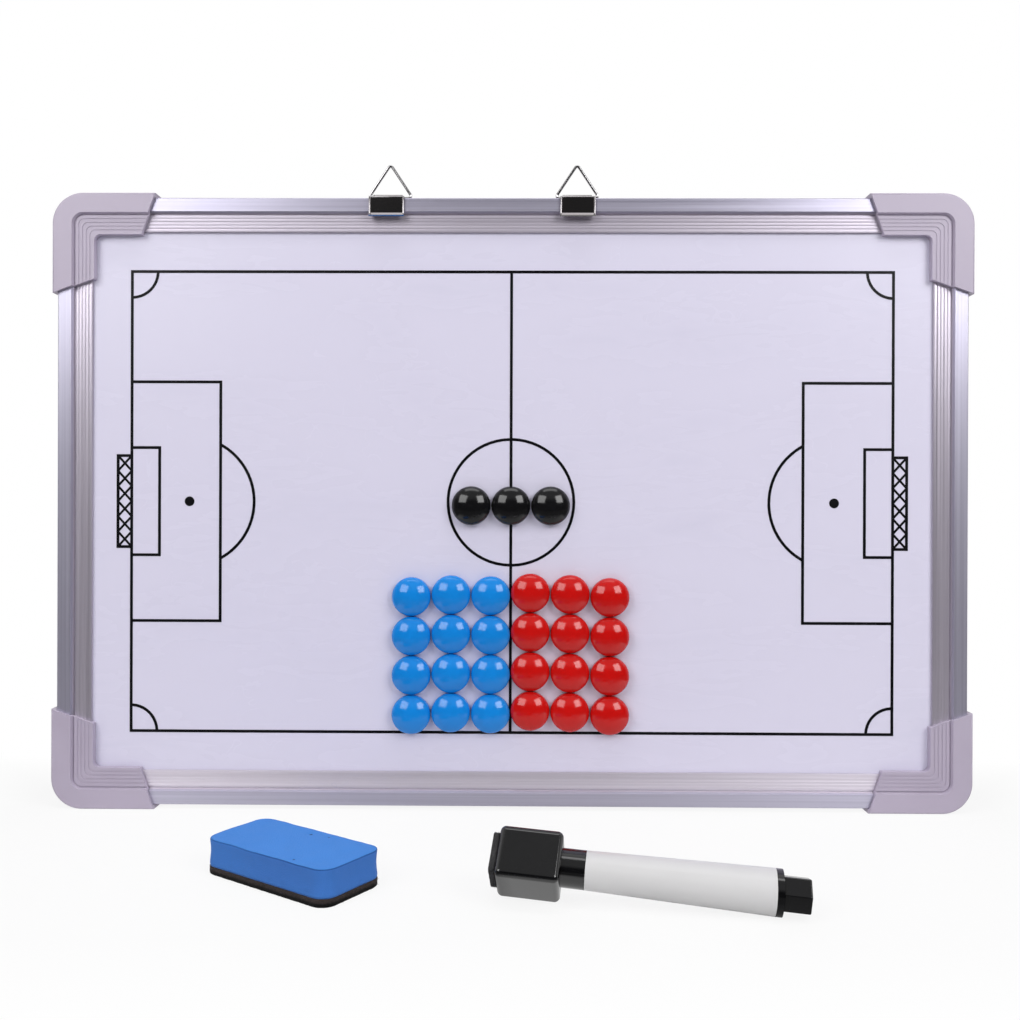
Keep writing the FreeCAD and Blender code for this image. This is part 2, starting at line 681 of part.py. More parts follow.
def make_ring(x):
    """Triangle of bent wire whose two ends meet inside the clip's tube."""
    y = board_y(RING_PIVOT_DEPTH)
    half = RING_BASE / 2
    apex = Vector(x, y, RING_PIVOT_Z + RING_HEIGHT)
    corners = [
        Vector(x + RING_END_GAP / 2, y, RING_PIVOT_Z),
        Vector(x + half, y, RING_PIVOT_Z),
        apex,
        Vector(x - half, y, RING_PIVOT_Z),
        Vector(x - RING_END_GAP / 2, y, RING_PIVOT_Z),
    ]
    edges = []
    start = corners[0]
    for before, corner, after in zip(corners, corners[1:], corners[2:]):
        towards = (corner - before).normalize()
        away = (after - corner).normalize()
        turn = math.acos(towards.dot(away))
        trim = RING_BEND * math.tan(turn / 2)
        bend_start = corner - towards * trim
        bend_end = corner + away * trim
        inward = (away - towards).normalize()
        bend_middle = corner + inward * (RING_BEND / math.cos(turn / 2) - RING_BEND)
        edges.append(Part.makeLine(start, bend_start))
        edges.append(Part.Arc(bend_start, bend_middle, bend_end).toShape())
        start = bend_end
    edges.append(Part.makeLine(start, corners[-1]))
    section = Part.Wire(Part.makeCircle(RING_WIRE / 2, corners[0], X_AXIS))
    return Part.Wire(edges).makePipeShell([section], True, True)


# Counters


def counter_solids(x, z):
    """Moulded dome with a recess at the back, and the ferrite disc that fills the recess."""
    radius = COUNTER_DIAMETER / 2
    shoulder = COUNTER_WALL_HEIGHT
    crest = shoulder + COUNTER_CROWN
    rim_centre = radius - COUNTER_RIM_ROUND
    crown_radius = (rim_centre**2 + COUNTER_CROWN**2 - COUNTER_RIM_ROUND**2) / (
        2 * (COUNTER_CROWN - COUNTER_RIM_ROUND)
    )
    crown_centre = crest - crown_radius
    lean = math.atan2(shoulder - crown_centre, rim_centre)
    blend = Vector(rim_centre + COUNTER_RIM_ROUND * math.cos(lean), 0, 0)
    blend.z = shoulder + COUNTER_RIM_ROUND * math.sin(lean)
    half_lean = lean / 2
    rim_middle = Vector(rim_centre + COUNTER_RIM_ROUND * math.cos(half_lean), 0, 0)
    rim_middle.z = shoulder + COUNTER_RIM_ROUND * math.sin(half_lean)
    half_crown = (lean + math.pi / 2) / 2
    crown_middle = Vector(crown_radius * math.cos(half_crown), 0, 0)
    crown_middle.z = crown_centre + crown_radius * math.sin(half_crown)
    recess = MAGNET_DIAMETER / 2 + MAGNET_CLEARANCE
    profile = Part.makePolygon([
        Vector(0, 0, crest),
        Vector(0, 0, MAGNET_THICKNESS),
        Vector(recess, 0, MAGNET_THICKNESS),
        Vector(recess, 0, 0),
        Vector(radius - COUNTER_FOOT_ROUND, 0, 0),
        Vector(radius, 0, COUNTER_FOOT_ROUND),
        Vector(radius, 0, shoulder),
    ]).Edges
    profile.append(Part.Arc(Vector(radius, 0, shoulder), rim_middle, blend).toShape())
    profile.append(Part.Arc(blend, crown_middle, Vector(0, 0, crest)).toShape())
    dome = Part.Face(Part.Wire(profile)).revolve(Vector(), Z_AXIS, 360)
    disc = Part.makeCylinder(MAGNET_DIAMETER / 2, MAGNET_THICKNESS)
    seat = Vector(x, board_y(PANEL_FRONT - PRINT_FILM), z)
    for solid in (dome, disc):
        solid.rotate(Vector(), X_AXIS, 90)
        solid.translate(seat)
    return dome.Solids[0], disc


def top_row_height():
    """Height of the blocks' first row: the free height below the row of three is shared out round them."""
    drops = BLUE_COLUMN_DROPS + RED_COLUMN_DROPS
    rows = COUNTER_ROWS * (COUNTER_DIAMETER + COUNTER_ROW_GAP) - COUNTER_ROW_GAP
    ceiling = BOARD_MIDDLE_Z - BLACK_ROW_DROP - COUNTER_DIAMETER / 2
    room = ceiling - CAP_COVER - RAIL_FACE - rows - (max(drops) - min(drops))
    return ceiling - room * COUNTER_SPACE_ABOVE - COUNTER_DIAMETER / 2 + min(drops)


def make_counters():
    """Two blocks of counters below the centre spot, either side of the halfway line, and a row of three."""
    across = COUNTER_DIAMETER + COUNTER_COLUMN_GAP
    down = COUNTER_DIAMETER + COUNTER_ROW_GAP
    counters = {}
    for colour, side, drops in (("blue", -1, BLUE_COLUMN_DROPS), ("red", 1, RED_COLUMN_DROPS)):
        for number in range(len(drops) * COUNTER_ROWS):
            row, column = divmod(number, len(drops))
            x = side * (column + 0.5) * across
            z = top_row_height() - drops[column] - row * down
            counters[f"{colour}_counter_{number + 1}"] = counter_solids(x, z)
    for number in range(BLACK_COUNTERS):
        x = (number - (BLACK_COUNTERS - 1) / 2) * across
        counters[f"black_counter_{number + 1}"] = counter_solids(x, BOARD_MIDDLE_Z - BLACK_ROW_DROP)
    return counters


# Eraser


def eraser_outline(inset, height):
    """Rounded outline of the eraser at a height above the floor."""
    half_x = ERASER_LENGTH / 2 - inset
    half_y = ERASER_WIDTH / 2 - inset
    return rounded_rectangle(half_x, half_y, ERASER_CORNER_RADIUS - inset, height)


def make_eraser():
    """Felt wiping pad under a foam grip whose sides draw in at the waist."""
    felt = Part.Face(eraser_outline(0, 0)).extrude(Vector(0, 0, ERASER_FELT))
    top = ERASER_FELT + ERASER_FOAM
    levels = [
        (0.0, ERASER_FELT),
        (ERASER_WAIST, ERASER_FELT + ERASER_FOAM / 2),
        (0.0, top - ERASER_EDGE_ROUND),
    ]
    grip = Part.makeLoft([eraser_outline(inset, height) for inset, height in levels], True)
    crown = Part.makeLoft(
        [eraser_outline(0.0, top - ERASER_EDGE_ROUND), eraser_outline(ERASER_EDGE_ROUND, top)], True
    )
    foam = grip.fuse(crown).removeSplitter()
    place = Vector(ERASER_X, RAIL_FRONT_Y - CAP_COVER - ERASER_AHEAD, 0)
    for solid in (foam, felt):
        solid.rotate(Vector(), Z_AXIS, ERASER_YAW)
        solid.translate(place)
    return foam.Solids[0], felt


# Marker


def marker_placement():
    """Frame of the marker: its axis lies along X from the cap's mouth, with cap and rim on the floor."""
    place = Vector(MARKER_X, RAIL_FRONT_Y - CAP_COVER - MARKER_AHEAD, MARKER_Z)
    yaw = FreeCAD.Rotation(Z_AXIS, MARKER_YAW)
    tilt = FreeCAD.Rotation(Y_AXIS, math.degrees(MARKER_TILT))
    roll = FreeCAD.Rotation(X_AXIS, MARKER_ROLL)
    return FreeCAD.Placement(place, yaw * tilt * roll)


def along_axis(radius_start, radius_end, start, end):
    """Round or tapered solid along the marker's axis."""
    if abs(radius_start - radius_end) < SAME_LENGTH:
        return Part.makeCylinder(radius_start, end - start, Vector(start, 0, 0), X_AXIS)
    return Part.makeCone(radius_start, radius_end, end - start, Vector(start, 0, 0), X_AXIS)


def make_barrel():
    """Tapered white tube, open at both ends."""
    front = MARKER_FRONT_DIAMETER / 2
    back = MARKER_BACK_DIAMETER / 2
    bore = front - MARKER_WALL
    return along_axis(front, back, 0, MARKER_BARREL).cut(
        along_axis(bore, bore, -THROUGH, MARKER_BARREL + THROUGH)
    )


def make_nose():
    """Nib holder: a spigot in the barrel, a shoulder and a tapering snout with a bore for the nib."""
    spigot = MARKER_FRONT_DIAMETER / 2 - MARKER_WALL - MARKER_FIT
    neck = MARKER_CAP_BORE / 2 - MARKER_NOSE_CLEARANCE
    snout = MARKER_NOSE_TIP / 2
    nose = along_axis(spigot, spigot, 0, MARKER_NOSE_SPIGOT).fuse([
        along_axis(neck, neck, -MARKER_NOSE_NECK, 0),
        along_axis(snout, neck, -MARKER_NOSE_LENGTH, -MARKER_NOSE_NECK),
    ])
    bore = MARKER_NIB_DIAMETER / 2 + MARKER_FIT
    hole = along_axis(bore, bore, -MARKER_NOSE_LENGTH - THROUGH, MARKER_NOSE_SPIGOT + THROUGH)
    return nose.removeSplitter().cut(hole).Solids[0]


def make_nib():
    """Bullet nib: a rod with a rounded point."""
    radius = MARKER_NIB_DIAMETER / 2
    tip = -MARKER_NOSE_LENGTH - MARKER_NIB_SHOWN
    rod = along_axis(radius, radius, tip + radius, tip + MARKER_NIB_SHOWN + MARKER_NIB_SEAT)
    point = Part.makeSphere(radius, Vector(tip + radius, 0, 0))
    return rod.fuse(point).removeSplitter().Solids[0]


def make_reservoir():
    """Fibre rod that holds the ink between the nose and the end plug."""
    radius = MARKER_FRONT_DIAMETER / 2 - MARKER_WALL - MARKER_FIT
    end = MARKER_BARREL - MARKER_PLUG_SPIGOT - MARKER_FIT
    return along_axis(radius, radius, MARKER_NOSE_SPIGOT + MARKER_FIT, end)


def make_end_plug():
    """Plug: a spigot in the barrel, a rim as wide as the barrel and a knob with flats."""
    spigot = MARKER_FRONT_DIAMETER / 2 - MARKER_WALL - MARKER_FIT
    rim = MARKER_BACK_DIAMETER / 2
    knob_radius = MARKER_PLUG_FLATS / 2 / math.cos(math.pi / MARKER_PLUG_SIDES)
    corners = []
    for number in range(MARKER_PLUG_SIDES):
        angle = 2 * math.pi * number / MARKER_PLUG_SIDES
        across = Vector(0, math.cos(angle), math.sin(angle))
        corners.append(Vector(MARKER_RIM_PLACE, 0, 0) + across * knob_radius)
    knob = polygon_face(corners).extrude(Vector(MARKER_PLUG_KNOB, 0, 0))
    knob = knob.makeFillet(MARKER_PLUG_ROUND, [e for e in knob.Edges if e.BoundBox.XMin > MARKER_BARREL])
    plug = along_axis(rim, rim, MARKER_BARREL, MARKER_RIM_PLACE).fuse([
        along_axis(spigot, spigot, MARKER_BARREL - MARKER_PLUG_SPIGOT, MARKER_BARREL),
        knob,
    ])
    return plug.removeSplitter().Solids[0]


def make_cap():
    """Square cap block with rounded edges, a round collar and a blind bore over the nose."""
    side = MARKER_CAP_SIDE
    block_start = -MARKER_CAP_COLLAR - MARKER_CAP_BLOCK
    block = Part.makeBox(MARKER_CAP_BLOCK, side, side, Vector(block_start, -side / 2, -side / 2))
    block = block.makeFillet(MARKER_CAP_ROUND, block.Edges)
    collar = MARKER_FRONT_DIAMETER / 2
    bore = MARKER_CAP_BORE / 2
    cap = block.fuse(along_axis(collar, collar, -MARKER_CAP_COLLAR - MARKER_CAP_ROUND, -MARKER_CAP_SEAT))
    return cap.removeSplitter().cut(along_axis(bore, bore, block_start + MARKER_CAP_WALL, THROUGH)).Solids[0]


def make_cap_felt():
    """Small felt pad on the far end of the cap."""
    side = MARKER_CAP_SIDE - 2 * MARKER_CAP_ROUND
    start = -MARKER_CAP_COLLAR - MARKER_CAP_BLOCK - MARKER_CAP_FELT
    pad = Part.makeBox(MARKER_CAP_FELT, side, side, Vector(start, -side / 2, -side / 2))
    along = [e for e in pad.Edges if abs(e.BoundBox.XLength - MARKER_CAP_FELT) < SAME_LENGTH]
    return pad.makeFillet(MARKER_FELT_ROUND, along)


def make_marker():
    """All the marker's pieces, laid on the floor."""
    pieces = {
        "marker_barrel": make_barrel(),
        "marker_nose": make_nose(),
        "marker_nib": make_nib(),
        "marker_ink_reservoir": make_reservoir(),
        "marker_end_plug": make_end_plug(),
        "marker_cap": make_cap(),
        "marker_cap_felt": make_cap_felt(),
    }
    for piece in pieces.values():
        piece.Placement = marker_placement() * piece.Placement
    return pieces


def main():
    """Build every node and write it."""
    os.makedirs("parts", exist_ok=True)
    for side in RAIL_SIDES:
        save(side, make_rail(side))
    for name, cap in make_caps().items():
        save(name, cap)
    save("corner_screws", *make_screws())
    save("face_sheet", panel_layer(PANEL_FRONT, FACE_SHEET))
    save("panel_core", panel_layer(CORE_FRONT, CORE))
    save("back_sheet", panel_layer(CORE_BACK, BACK_SHEET))
    save("pitch_print", *make_print())
    for side, x, shift in (
        ("left", LEFT_CLIP_X, LEFT_RING_SHIFT),
        ("right", RIGHT_CLIP_X, RIGHT_RING_SHIFT),
    ):
        save(f"{side}_hanger_clip", make_clip(x))
        save(f"{side}_hanger_ring", make_ring(x + shift))
    for name, solids in make_counters().items():
        save(name, *solids)
    foam, felt = make_eraser()
    save("eraser_foam", foam)
    save("eraser_felt", felt)
    for name, piece in make_marker().items():
        save(name, piece)


main()
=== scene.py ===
import logging
import math
import random
from dataclasses import dataclass
from enum import Enum
from typing import ClassVar, Protocol

import bpy
from mathutils import Matrix, Vector, noise


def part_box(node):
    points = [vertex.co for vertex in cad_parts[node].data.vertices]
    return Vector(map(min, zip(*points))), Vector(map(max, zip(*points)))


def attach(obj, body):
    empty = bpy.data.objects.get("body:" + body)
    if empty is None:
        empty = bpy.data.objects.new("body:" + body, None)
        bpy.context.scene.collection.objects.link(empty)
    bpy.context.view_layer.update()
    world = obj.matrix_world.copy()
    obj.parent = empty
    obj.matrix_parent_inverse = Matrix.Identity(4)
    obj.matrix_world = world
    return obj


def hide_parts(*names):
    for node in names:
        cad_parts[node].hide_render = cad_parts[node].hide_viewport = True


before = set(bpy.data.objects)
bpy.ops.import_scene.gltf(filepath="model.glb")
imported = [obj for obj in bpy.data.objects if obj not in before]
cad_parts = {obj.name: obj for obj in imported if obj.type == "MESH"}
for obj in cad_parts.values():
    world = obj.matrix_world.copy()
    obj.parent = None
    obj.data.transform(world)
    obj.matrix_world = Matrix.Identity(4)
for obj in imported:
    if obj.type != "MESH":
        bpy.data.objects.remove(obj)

log = logging.getLogger("tactics_board")

Colour = tuple[float, float, float]
Point = tuple[float, float, float]
Span = tuple[float, float]
Face = tuple[int, ...]
Socket = bpy.types.NodeSocket
Sockets = bpy.types.NodeOutputs
Node = bpy.types.Node
Material = bpy.types.Material
Piece = bpy.types.Object

QUARTER_TURN = math.pi / 2
SHARP_ANGLE = math.radians(35.0)
WELD_GAP = 1e-6


class Run(Enum):
    """The way along which a rail was drawn and brushed, as the stretch of its streaks."""

    LEVEL = (5.0, 900.0, 900.0)
    UPRIGHT = (900.0, 900.0, 5.0)


class Team(Enum):
    """The counters' colours: first word of their nodes, how many, and two tones of the plastic."""

    BLUE = ("blue", 12, (0.006, 0.240, 0.720), (0.005, 0.220, 0.670))
    RED = ("red", 12, (0.590, 0.006, 0.005), (0.540, 0.005, 0.004))
    BLACK = ("black", 3, (0.0060, 0.0058, 0.0068), (0.0045, 0.0044, 0.0052))


# Node wiring


class Wiring:
    """Short calls for adding and joining nodes in one node tree."""

    def __init__(self, tree: bpy.types.NodeTree) -> None:
        """Work on the tree of a material, a group or the world."""
        self.tree = tree

    def add(self, kind: str, inputs: dict[str | int, object] | None = None, **settings: object) -> Node:
        """Add a node and feed its inputs.

        Args:
            kind: Blender's name for the node type.
            inputs: Values or sockets for its inputs, by name or place.
            settings: The node's own properties.

        Returns:
            The new node.
        """
        node = self.tree.nodes.new(kind)
        for name, value in settings.items():
            setattr(node, name, value)
        for key, value in (inputs or {}).items():
            self.feed(node.inputs[key], value)
        return node

    def feed(self, target: Socket, value: object) -> None:
        """Join a socket to an input, or set the input's own value.

        Args:
            target: The input.
            value: Another node's output, or a plain value.
        """
        if isinstance(value, Socket):
            self.tree.links.new(value, target)
        else:
            target.default_value = value

    def axes(self, place: str) -> Sockets:
        """Read one kind of texture coordinates along X, Y and Z."""
        source = self.add("ShaderNodeTexCoord").outputs[place]
        return self.add("ShaderNodeSeparateXYZ", {0: source}).outputs

    def noise(self, vector: Socket, scale: object, detail: float = 2.0, warp: float = 0.0) -> Socket:
        """Add a cloudy noise of about 0.5, with a scale in features per metre of the vector."""
        inputs = {"Vector": vector, "Scale": scale, "Detail": detail, "Distortion": warp}
        return self.add("ShaderNodeTexNoise", inputs).outputs["Fac"]

    def cells(self, vector: Socket, scale: float) -> Socket:
        """Add round cells, as the distance from the nearest cell's middle."""
        return self.add("ShaderNodeTexVoronoi", {"Vector": vector, "Scale": scale}).outputs["Distance"]

    def away(self, place: Socket, centre: Point) -> Socket:
        """Measure how far a place is from a point."""
        return self.add("ShaderNodeVectorMath", {0: place, 1: centre}, operation="DISTANCE").outputs["Value"]

    def ramp(self, value: Socket, low: float, high: float, start: float = 0.0, end: float = 1.0) -> Socket:
        """Map values from low to high to values from start to end, and hold them there."""
        inputs = {"Value": value, "From Min": low, "From Max": high, "To Min": start, "To Max": end}
        return self.add("ShaderNodeMapRange", inputs).outputs["Result"]

    def math(self, operation: str, first: object, second: object = 0.0) -> Socket:
        """Work out one sum, by Blender's name for it."""
        return self.add("ShaderNodeMath", {0: first, 1: second}, operation=operation).outputs[0]

    def plus(self, value: Socket, extra: Socket, share: object) -> Socket:
        """Add a share of one value to another."""
        return self.math("ADD", value, self.math("MULTIPLY", extra, share))

    def mix(self, share: object, first: object, second: object) -> Socket:
        """Mix two numbers, with a share of the second."""
        return self.add("ShaderNodeMix", {0: share, 2: first, 3: second}, data_type="FLOAT").outputs[0]

    def blend(self, share: Socket, first: object, second: object) -> Socket:
        """Mix two colours, with a share of the second."""
        pair = [(*value, 1.0) if isinstance(value, tuple) else value for value in (first, second)]
        return self.add("ShaderNodeMix", {0: share, 6: pair[0], 7: pair[1]}, data_type="RGBA").outputs[2]


# Effects that several finishes share


class Effect(Wiring):
    """A shading effect kept as one node group, with a vector and some numbers going in."""

    title: ClassVar[str] = ""
    numbers: ClassVar[dict[str, float]] = {}
    results: ClassVar[tuple[str, ...]] = ()

    def __init__(self) -> None:
        """Build the group with its named inputs and outputs."""
        super().__init__(bpy.data.node_groups.new(self.title, "ShaderNodeTree"))
        sockets = self.tree.interface
        sockets.new_socket(name="Vector", in_out="INPUT", socket_type="NodeSocketVector")
        for name, value in self.numbers.items():
            socket = sockets.new_socket(name=name, in_out="INPUT", socket_type="NodeSocketFloat")
            socket.default_value = value
        for name in self.results:
            sockets.new_socket(name=name, in_out="OUTPUT", socket_type="NodeSocketFloat")
        self.given = self.add("NodeGroupInput").outputs
        self.vector = self.given["Vector"]
        self.wire()

    def wire(self) -> None:
        """Wire the inside of the group."""
        raise NotImplementedError

    def put(self, **results: Socket) -> None:
        """Feed the group's outputs by name."""
        self.add("NodeGroupOutput", results)


class BrushedStreaks(Effect):
    """Long fine streaks of drawn and brushed metal, along the vector's slow axis."""

    title = "brushed_streaks"
    results = ("Height", "Tone")

    def wire(self) -> None:
        """Wire fine streaks and broader bands."""
        fine = self.noise(self.vector, 1.0, detail=5.0)
        broad = self.noise(self.vector, 0.12)
        self.put(Height=fine, Tone=self.ramp(self.mix(0.4, fine, broad), 0.32, 0.68))


class MouldedGrain(Effect):
    """Fine spark-eroded grain of a moulded face, with a slow drift of tone."""

    title = "moulded_grain"
    numbers = {"Grain": 2400.0}
    results = ("Height", "Tone")

    def wire(self) -> None:
        """Wire grain and drift."""
        grain = self.noise(self.vector, self.given["Grain"], detail=3.0)
        drift = self.noise(self.vector, self.math("MULTIPLY", self.given["Grain"], 0.02), detail=3.0)
        self.put(Height=grain, Tone=self.ramp(drift, 0.3, 0.7))


class HandlingMarks(Effect):
    """Sparse hairline scratches from handling."""

    title = "handling_marks"
    numbers = {"Scale": 90.0}
    results = ("Mask",)

    def wire(self) -> None:
        """Wire thin contour lines of a noise, broken up by patches."""
        field = self.noise(self.vector, self.given["Scale"], detail=1.0, warp=0.7)
        off_line = self.math("ABSOLUTE", self.math("SUBTRACT", field, 0.5))
        line = self.ramp(off_line, 0.0, 0.006, 1.0, 0.0)
        patches = self.noise(self.vector, self.math("MULTIPLY", self.given["Scale"], 0.4))
        self.put(Mask=self.math("MULTIPLY", line, self.ramp(patches, 0.52, 0.66)))


class SettledDust(Effect):
    """Thin dust on faces that look up."""

    title = "settled_dust"
    numbers = {"Amount": 0.3}
    results = ("Mask",)

    def wire(self) -> None:
        """Wire the upward share of the face with a cloudy break-up."""
        upward = self.ramp(self.axes("Normal")["Z"], 0.55, 1.0)
        cloud = self.ramp(self.noise(self.vector, 240.0, detail=6.0), 0.35, 0.75)
        self.put(Mask=self.math("MULTIPLY", self.math("MULTIPLY", upward, cloud), self.given["Amount"]))


class FeltFibres(Effect):
    """Matted short fibres."""

    title = "felt_fibres"
    numbers = {"Scale": 1500.0}
    results = ("Height", "Tone")

    def wire(self) -> None:
        """Wire warped strands and clumps."""
        strands = self.noise(self.vector, self.given["Scale"], detail=6.0, warp=3.0)
        clumps = self.noise(self.vector, self.math("MULTIPLY", self.given["Scale"], 0.2), detail=3.0)
        tone = self.math("MULTIPLY", self.ramp(strands, 0.3, 0.7), self.ramp(clumps, 0.25, 0.75, 0.55, 1.0))
        self.put(Height=strands, Tone=tone)


class Surface(Wiring):
    """One material under way: its tree, its shader and the piece's own coordinates."""

    def __init__(self, title: str, constants: dict[str, object]) -> None:
        """Start a material.

        Args:
            title: The material's name.
            constants: Shader inputs that are the same all over.
        """
        self.material = bpy.data.materials.new(title)
        self.material.use_nodes = True
        super().__init__(self.material.node_tree)
        self.shader = next(node for node in self.tree.nodes if node.type == "BSDF_PRINCIPLED")
        self.shade(constants)

    def shade(self, inputs: dict[str, object]) -> None:
        """Feed the shader's inputs, by name, with values or sockets."""
        for name, value in inputs.items():
            self.feed(self.shader.inputs[name], value)

    def place(self, scale: Point = (1.0, 1.0, 1.0)) -> Socket:
        """Read the piece's own coordinates, in metres, stretched along each axis."""
        source = self.add("ShaderNodeTexCoord").outputs["Object"]
        return self.add("ShaderNodeMapping", {"Vector": source, "Scale": scale}).outputs["Vector"]

    def effect(self, kind: type[Effect], vector: Socket, **numbers: float) -> Sockets:
        """Place a shared effect with its own numbers. Its group is built on first use."""
        tree = bpy.data.node_groups.get(kind.title) or kind().tree
        return self.add("ShaderNodeGroup", {"Vector": vector, **numbers}, node_tree=tree).outputs

    def finish(self, colour: Socket, rough: Socket, height: Socket, depth: float, shown: float) -> Material:
        """Feed what varies over the surface.

        Args:
            colour: The base colour.
            rough: The roughness.
            height: The relief, from 0 to 1.
            depth: What a height of 1 is, in metres.
            shown: Share of the relief that shows.

        Returns:
            The finished material.
        """
        bump = self.add("ShaderNodeBump", {"Strength": shown, "Distance": depth, "Height": height})
        self.shade({"Base Color": colour, "Roughness": rough, "Normal": bump.outputs["Normal"]})
        return self.material


# Finishes


class Finish(Protocol):
    """What every finish can do."""

    def material(self) -> Material:
        """Wire the finish and return its material."""


@dataclass(frozen=True)
class DrawnMetal:
    """Drawn, brushed metal: the rails, the screws and the sheet at the back."""

    title: str
    low: Colour
    high: Colour
    stretch: Point
    smooth: float = 0.27
    rough: float = 0.40
    metallic: float = 0.65
    groove: float = 0.00003
    ridged_from: float = 0.0
    ridge_step: float = 0.0003
    # painted light: lighter colours for the recessed ridged zone, for the light its ridges catch
    ridge_low: Colour = (0.46, 0.420, 0.500)
    ridge_high: Colour = (0.65, 0.598, 0.690)
    ridge_rough: float = 0.0
    spread: float = 0.0
    across: Point = (0.05, 0.8, 1.0)

    def material(self) -> Material:
        """Wire the finish.

        Returns:
            Its material.
        """
        surface = Surface(self.title, {"Metallic": self.metallic, "Anisotropic": self.spread})
        if self.spread:
            across = surface.add("ShaderNodeCombineXYZ", dict(zip("XYZ", self.across)))
            surface.shade({"Tangent": across.outputs[0]})
        streaks = surface.effect(BrushedStreaks, surface.place(self.stretch))
        marks = surface.effect(HandlingMarks, surface.place(), Scale=70.0)
        tone = surface.blend(streaks["Tone"], self.low, self.high)
        rough = surface.mix(streaks["Tone"], self.smooth, self.rough)
        # painted light: the recessed ridged zone takes lighter colours, for the light its ridges catch; its
        # streaks are the metal's own
        if self.ridged_from:
            inward = surface.axes("Object")["Y"]
            ridged = surface.ramp(inward, self.ridged_from - self.ridge_step, self.ridged_from)
            worn = surface.blend(streaks["Tone"], self.ridge_low, self.ridge_high)
            tone = surface.blend(ridged, tone, worn)
            rough = surface.plus(rough, ridged, self.ridge_rough)
        colour = surface.blend(surface.math("MULTIPLY", marks["Mask"], 0.35), tone, self.high)
        return surface.finish(colour, rough, streaks["Height"], self.groove, shown=0.5)


@dataclass(frozen=True)
class MouldedPlastic:
    """Moulded plastic: the corner caps and the marker's shells."""

    title: str
    base: Colour
    shade: Colour
    dust: Colour
    smooth: float
    rough: float
    grain: float = 2400.0
    grain_depth: float = 0.00002
    dust_amount: float = 0.25
    shine: float = 0.5

    def material(self) -> Material:
        """Wire the finish.

        Returns:
            Its material.
        """
        surface = Surface(self.title, {"Specular IOR Level": self.shine})
        place = surface.place()
        grain = surface.effect(MouldedGrain, place, Grain=self.grain)
        marks = surface.effect(HandlingMarks, place, Scale=110.0)
        dust = surface.effect(SettledDust, place, Amount=self.dust_amount)
        tone = surface.blend(grain["Tone"], self.shade, self.base)
        colour = surface.blend(dust["Mask"], tone, self.dust)
        worn = surface.plus(grain["Tone"], marks["Mask"], 0.8)
        rough = surface.ramp(worn, 0.0, 1.6, self.smooth, self.rough)
        return surface.finish(colour, rough, grain["Height"], self.grain_depth, shown=0.6)


@dataclass(frozen=True)
class WritingEnamel:
    """Glossy writing enamel with faint ghosts of wiped ink and a few specks."""

    title: str = "face_enamel"
    base: Colour = (0.700, 0.672, 0.815)
    ghost: Colour = (0.655, 0.632, 0.775)
    speck: Colour = (0.30, 0.28, 0.34)
    clouds: Point = (9.0, 9.0, 22.0)
    wipes: Point = (26.0, 26.0, 120.0)
    smooth: float = 0.27
    rough: float = 0.34

    def material(self) -> Material:
        """Wire the finish.

        Returns:
            Its material.
        """
        surface = Surface(self.title, {"Specular IOR Level": 0.25})
        place = surface.place()
        cloud = surface.noise(surface.place(self.clouds), 1.0, detail=4.0, warp=0.6)
        wiped = surface.noise(surface.place(self.wipes), 1.0, detail=5.0, warp=1.2)
        ghost = surface.math("MULTIPLY", surface.ramp(cloud, 0.42, 0.72), surface.ramp(wiped, 0.35, 0.75))
        tone = surface.blend(ghost, self.base, self.ghost)
        dots = surface.ramp(surface.cells(place, 34.0), 0.010, 0.016, 1.0, 0.0)
        kept = surface.ramp(surface.noise(place, 11.0), 0.60, 0.66)
        colour = surface.blend(surface.math("MULTIPLY", dots, kept), tone, self.speck)
        marks = surface.effect(HandlingMarks, place, Scale=60.0)
        rough = surface.ramp(surface.plus(ghost, marks["Mask"], 0.4), 0.0, 1.4, self.smooth, self.rough)
        peel = surface.noise(place, 420.0, detail=1.0)
        return surface.finish(colour, rough, peel, depth=0.00002, shown=0.35)


@dataclass(frozen=True)
class PrintedInk:
    """Screen-printed line ink, a little uneven in density."""

    title: str = "print_ink"
    dense: Colour = (0.0015, 0.0015, 0.0025)
    thin: Colour = (0.008, 0.007, 0.011)
    smooth: float = 0.30
    rough: float = 0.48

    def material(self) -> Material:
        """Wire the finish.

        Returns:
            Its material.
        """
        surface = Surface(self.title, {"Specular IOR Level": 0.15})
        grain = surface.effect(MouldedGrain, surface.place(), Grain=5200.0)
        colour = surface.blend(surface.ramp(grain["Height"], 0.45, 0.85), self.dense, self.thin)
        rough = surface.mix(grain["Tone"], self.smooth, self.rough)
        return surface.finish(colour, rough, grain["Height"], depth=0.00001, shown=0.4)


@dataclass(frozen=True)
class BrightPlate:
    """Bright plated steel of the clips and the wire rings."""

    title: str
    base: Colour
    haze: Colour
    rough: float
    smooth: float = 0.10

    def material(self) -> Material:
        """Wire the finish.

        Returns:
            Its material.
        """
        surface = Surface(self.title, {"Metallic": 1.0})
        place = surface.place()
        marks = surface.effect(HandlingMarks, place, Scale=320.0)
        grain = surface.effect(MouldedGrain, place, Grain=1500.0)
        worn = surface.plus(marks["Mask"], grain["Tone"], 0.5)
        colour = surface.blend(surface.ramp(worn, 0.0, 1.5), self.base, self.haze)
        rough = surface.ramp(worn, 0.0, 1.5, self.smooth, self.rough)
        return surface.finish(colour, rough, grain["Tone"], depth=0.00002, shown=0.4)


